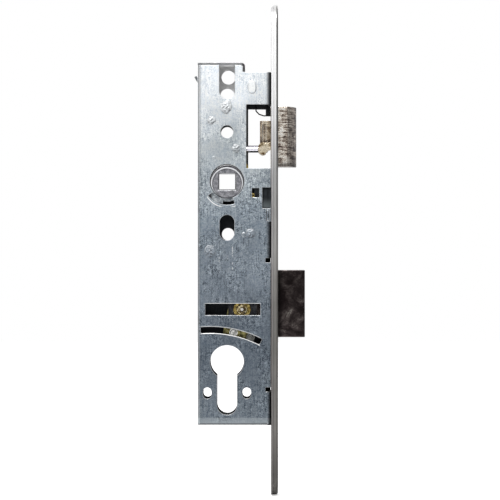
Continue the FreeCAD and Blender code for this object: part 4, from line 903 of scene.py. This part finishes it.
def hammered_stake(owner, radius_mm, form, ragged):
    """A low, uneven, hammered rivet end that covers the plain one of the node."""
    low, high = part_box(owner)
    centre = Vector(((low.x + high.x) / 2, near_plane, (low.z + high.z) / 2))
    if owner == "rod_guide":
        centre.z = ROD_GUIDE_STAKE
    seed = Vector((radius_mm * 7.3, form * 3.1, 0.0))
    mesh = bmesh.new()
    loops = []
    for ring in range(1, STAKE_RINGS + 1):
        share = ring / STAKE_RINGS
        loop = []
        for step in range(STAKE_SIDES):
            angle = 2 * math.pi * step / STAKE_SIDES
            edge = 1 + ragged * share * noise.noise(
                Vector((math.cos(angle) * OUTLINE_SCALE, math.sin(angle) * OUTLINE_SCALE, seed.x)))
            reach = radius_mm * MM * share * edge
            spot = Vector((reach * math.cos(angle), reach * math.sin(angle), 0))
            dent = noise.noise(spot * DENT_SCALE + seed)
            rise = STAKE_HEIGHT * (1 - share ** 2.2) * (0.8 + 0.75 * dent)
            if ring == STAKE_RINGS:
                rise = -STAKE_SINK
            loop.append(mesh.verts.new((centre.x + reach * math.cos(angle), centre.y - rise,
                                        centre.z + reach * math.sin(angle))))
        loops.append(loop)
    for first, second in zip(loops, loops[1:]):
        for step in range(STAKE_SIDES):
            after = (step + 1) % STAKE_SIDES
            face = mesh.faces.new((first[step], second[step], second[after], first[after]))
            face.smooth = True
    mesh.faces.new(loops[0]).smooth = True
    bmesh.ops.recalc_face_normals(mesh, faces=mesh.faces)
    piece = new_piece(owner + "_end", mesh)
    dress(piece, "staked_steel")
    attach(piece, "case")


for stake in STAKES:
    hammered_stake(*stake)


# Floor, light and camera

FLOOR_SIZE = 3.0
FLOOR_GAP = 0.2 * MM
FLOOR_GLOW = 0.45
STUDIO_STRENGTH = 0.75

# Brightness of the studio from straight below to straight above
STUDIO_HEIGHTS = ((0.0, 0.22), (0.40, 0.30), (0.50, 0.30), (0.60, 0.60), (0.80, 1.0), (1.0, 1.0))

# Name, place, point it looks at, size and power
LAMPS = (
    ("key", (-0.14, -0.62, 0.66), (-0.02, 0, 0.03), (0.35, 0.25), 4.0),
    ("fill", (-0.1, -1.0, 0.4), (-0.02, 0, 0.03), (0.4, 0.4), 0.75),
    ("back", (-0.3, 0.7, 0.5), (-0.02, 0, 0), (0.5, 0.4), 4.0),
)
VIEW_WIDTH = 254.25 * MM
VIEW_DISTANCE = 0.9
VIEW_CENTRE = Vector((-14.3 * MM, near_plane, -0.15 * MM))


def shown_to_camera(tree, plain, seen, surface):
    """Shows one shader to the camera and the other to all other rays."""
    path = tree.nodes.new("ShaderNodeLightPath")
    mix = tree.nodes.new("ShaderNodeMixShader")
    tree.links.new(path.outputs["Is Camera Ray"], mix.inputs[0])
    tree.links.new(plain, mix.inputs[1])
    tree.links.new(seen, mix.inputs[2])
    tree.links.new(mix.outputs[0], surface)


def make_floor():
    """A pale floor under the lower end of the forend."""
    bpy.ops.mesh.primitive_plane_add(size=FLOOR_SIZE, location=(0, 0, forend_low.z - FLOOR_GAP))
    floor = bpy.context.object
    floor.name = "floor"
    material = bpy.data.materials.new("floor_paper")
    material.use_nodes = True
    tree = material.node_tree
    shader = tree.nodes["Principled BSDF"]
    shader.inputs["Roughness"].default_value = 0.9
    shader.inputs["Specular IOR Level"].default_value = 0.1
    grain = tree.nodes.new("ShaderNodeTexNoise")
    grain.inputs["Scale"].default_value = 60.0
    paper = tree.nodes.new("ShaderNodeValToRGB")
    set_stops(paper.color_ramp, ((0.0, (0.93, 0.93, 0.93)), (1.0, (0.97, 0.97, 0.97))))
    tree.links.new(grain.outputs["Fac"], paper.inputs[0])
    tree.links.new(paper.outputs[0], shader.inputs["Base Color"])
    glow = tree.nodes.new("ShaderNodeEmission")
    glow.inputs["Strength"].default_value = FLOOR_GLOW
    both = tree.nodes.new("ShaderNodeAddShader")
    tree.links.new(shader.outputs[0], both.inputs[0])
    tree.links.new(glow.outputs[0], both.inputs[1])
    shown_to_camera(tree, shader.outputs[0], both.outputs[0], tree.nodes["Material Output"].inputs["Surface"])
    floor.data.materials.append(material)


def make_world():
    """White to the camera. The studio for light and reflections is bright above and behind."""
    world = bpy.data.worlds.new("studio")
    bpy.context.scene.world = world
    world.use_nodes = True
    tree = world.node_tree
    tree.nodes.clear()
    output = tree.nodes.new("ShaderNodeOutputWorld")
    place = tree.nodes.new("ShaderNodeTexCoord")
    split = tree.nodes.new("ShaderNodeSeparateXYZ")
    tree.links.new(place.outputs["Generated"], split.inputs[0])
    height = tree.nodes.new("ShaderNodeValToRGB")
    set_stops(height.color_ramp, [(at, (level, level, level * 1.01)) for at, level in STUDIO_HEIGHTS])
    half = tree.nodes.new("ShaderNodeMath")
    half.operation = "MULTIPLY_ADD"
    half.inputs[1].default_value = 0.5
    half.inputs[2].default_value = 0.5
    tree.links.new(split.outputs["Z"], half.inputs[0])
    tree.links.new(half.outputs[0], height.inputs[0])
    behind = tree.nodes.new("ShaderNodeMapRange")
    behind.inputs["From Min"].default_value = 0.2
    behind.inputs["From Max"].default_value = 0.7
    tree.links.new(split.outputs["Y"], behind.inputs["Value"])
    # Inputs 6 and 7 and output 2 of a mix node are its colours
    room = tree.nodes.new("ShaderNodeMix")
    room.data_type = "RGBA"
    tree.links.new(behind.outputs[0], room.inputs[0])
    tree.links.new(height.outputs[0], room.inputs[6])
    room.inputs[7].default_value = (1, 1, 1, 1)
    dim = tree.nodes.new("ShaderNodeBackground")
    dim.inputs["Strength"].default_value = STUDIO_STRENGTH
    tree.links.new(room.outputs[2], dim.inputs["Color"])
    white = tree.nodes.new("ShaderNodeBackground")
    white.inputs["Color"].default_value = (1, 1, 1, 1)
    shown_to_camera(tree, dim.outputs[0], white.outputs[0], output.inputs["Surface"])


def area_lamp(name, place, target, size, power):
    """A soft rectangular lamp that looks at a point."""
    data = bpy.data.lights.new(name, "AREA")
    data.shape = "RECTANGLE"
    data.size, data.size_y = size
    data.energy = power
    lamp = bpy.data.objects.new(name, data)
    lamp.location = place
    lamp.rotation_euler = (Vector(target) - Vector(place)).to_track_quat("-Z", "Y").to_euler()
    bpy.context.scene.collection.objects.link(lamp)


def make_camera():
    """A long lens square on the near plate, with the photograph's frame."""
    data = bpy.data.cameras.new("camera")
    data.sensor_width = 36.0
    data.lens = data.sensor_width * VIEW_DISTANCE / VIEW_WIDTH
    camera = bpy.data.objects.new("camera", data)
    camera.location = VIEW_CENTRE - Vector((0, VIEW_DISTANCE, 0))
    camera.rotation_euler = (math.radians(90), 0, 0)
    bpy.context.scene.collection.objects.link(camera)
    bpy.context.scene.camera = camera


make_floor()
make_world()
for lamp_settings in LAMPS:
    area_lamp(*lamp_settings)
make_camera()
bpy.context.scene.view_settings.view_transform = "Standard"
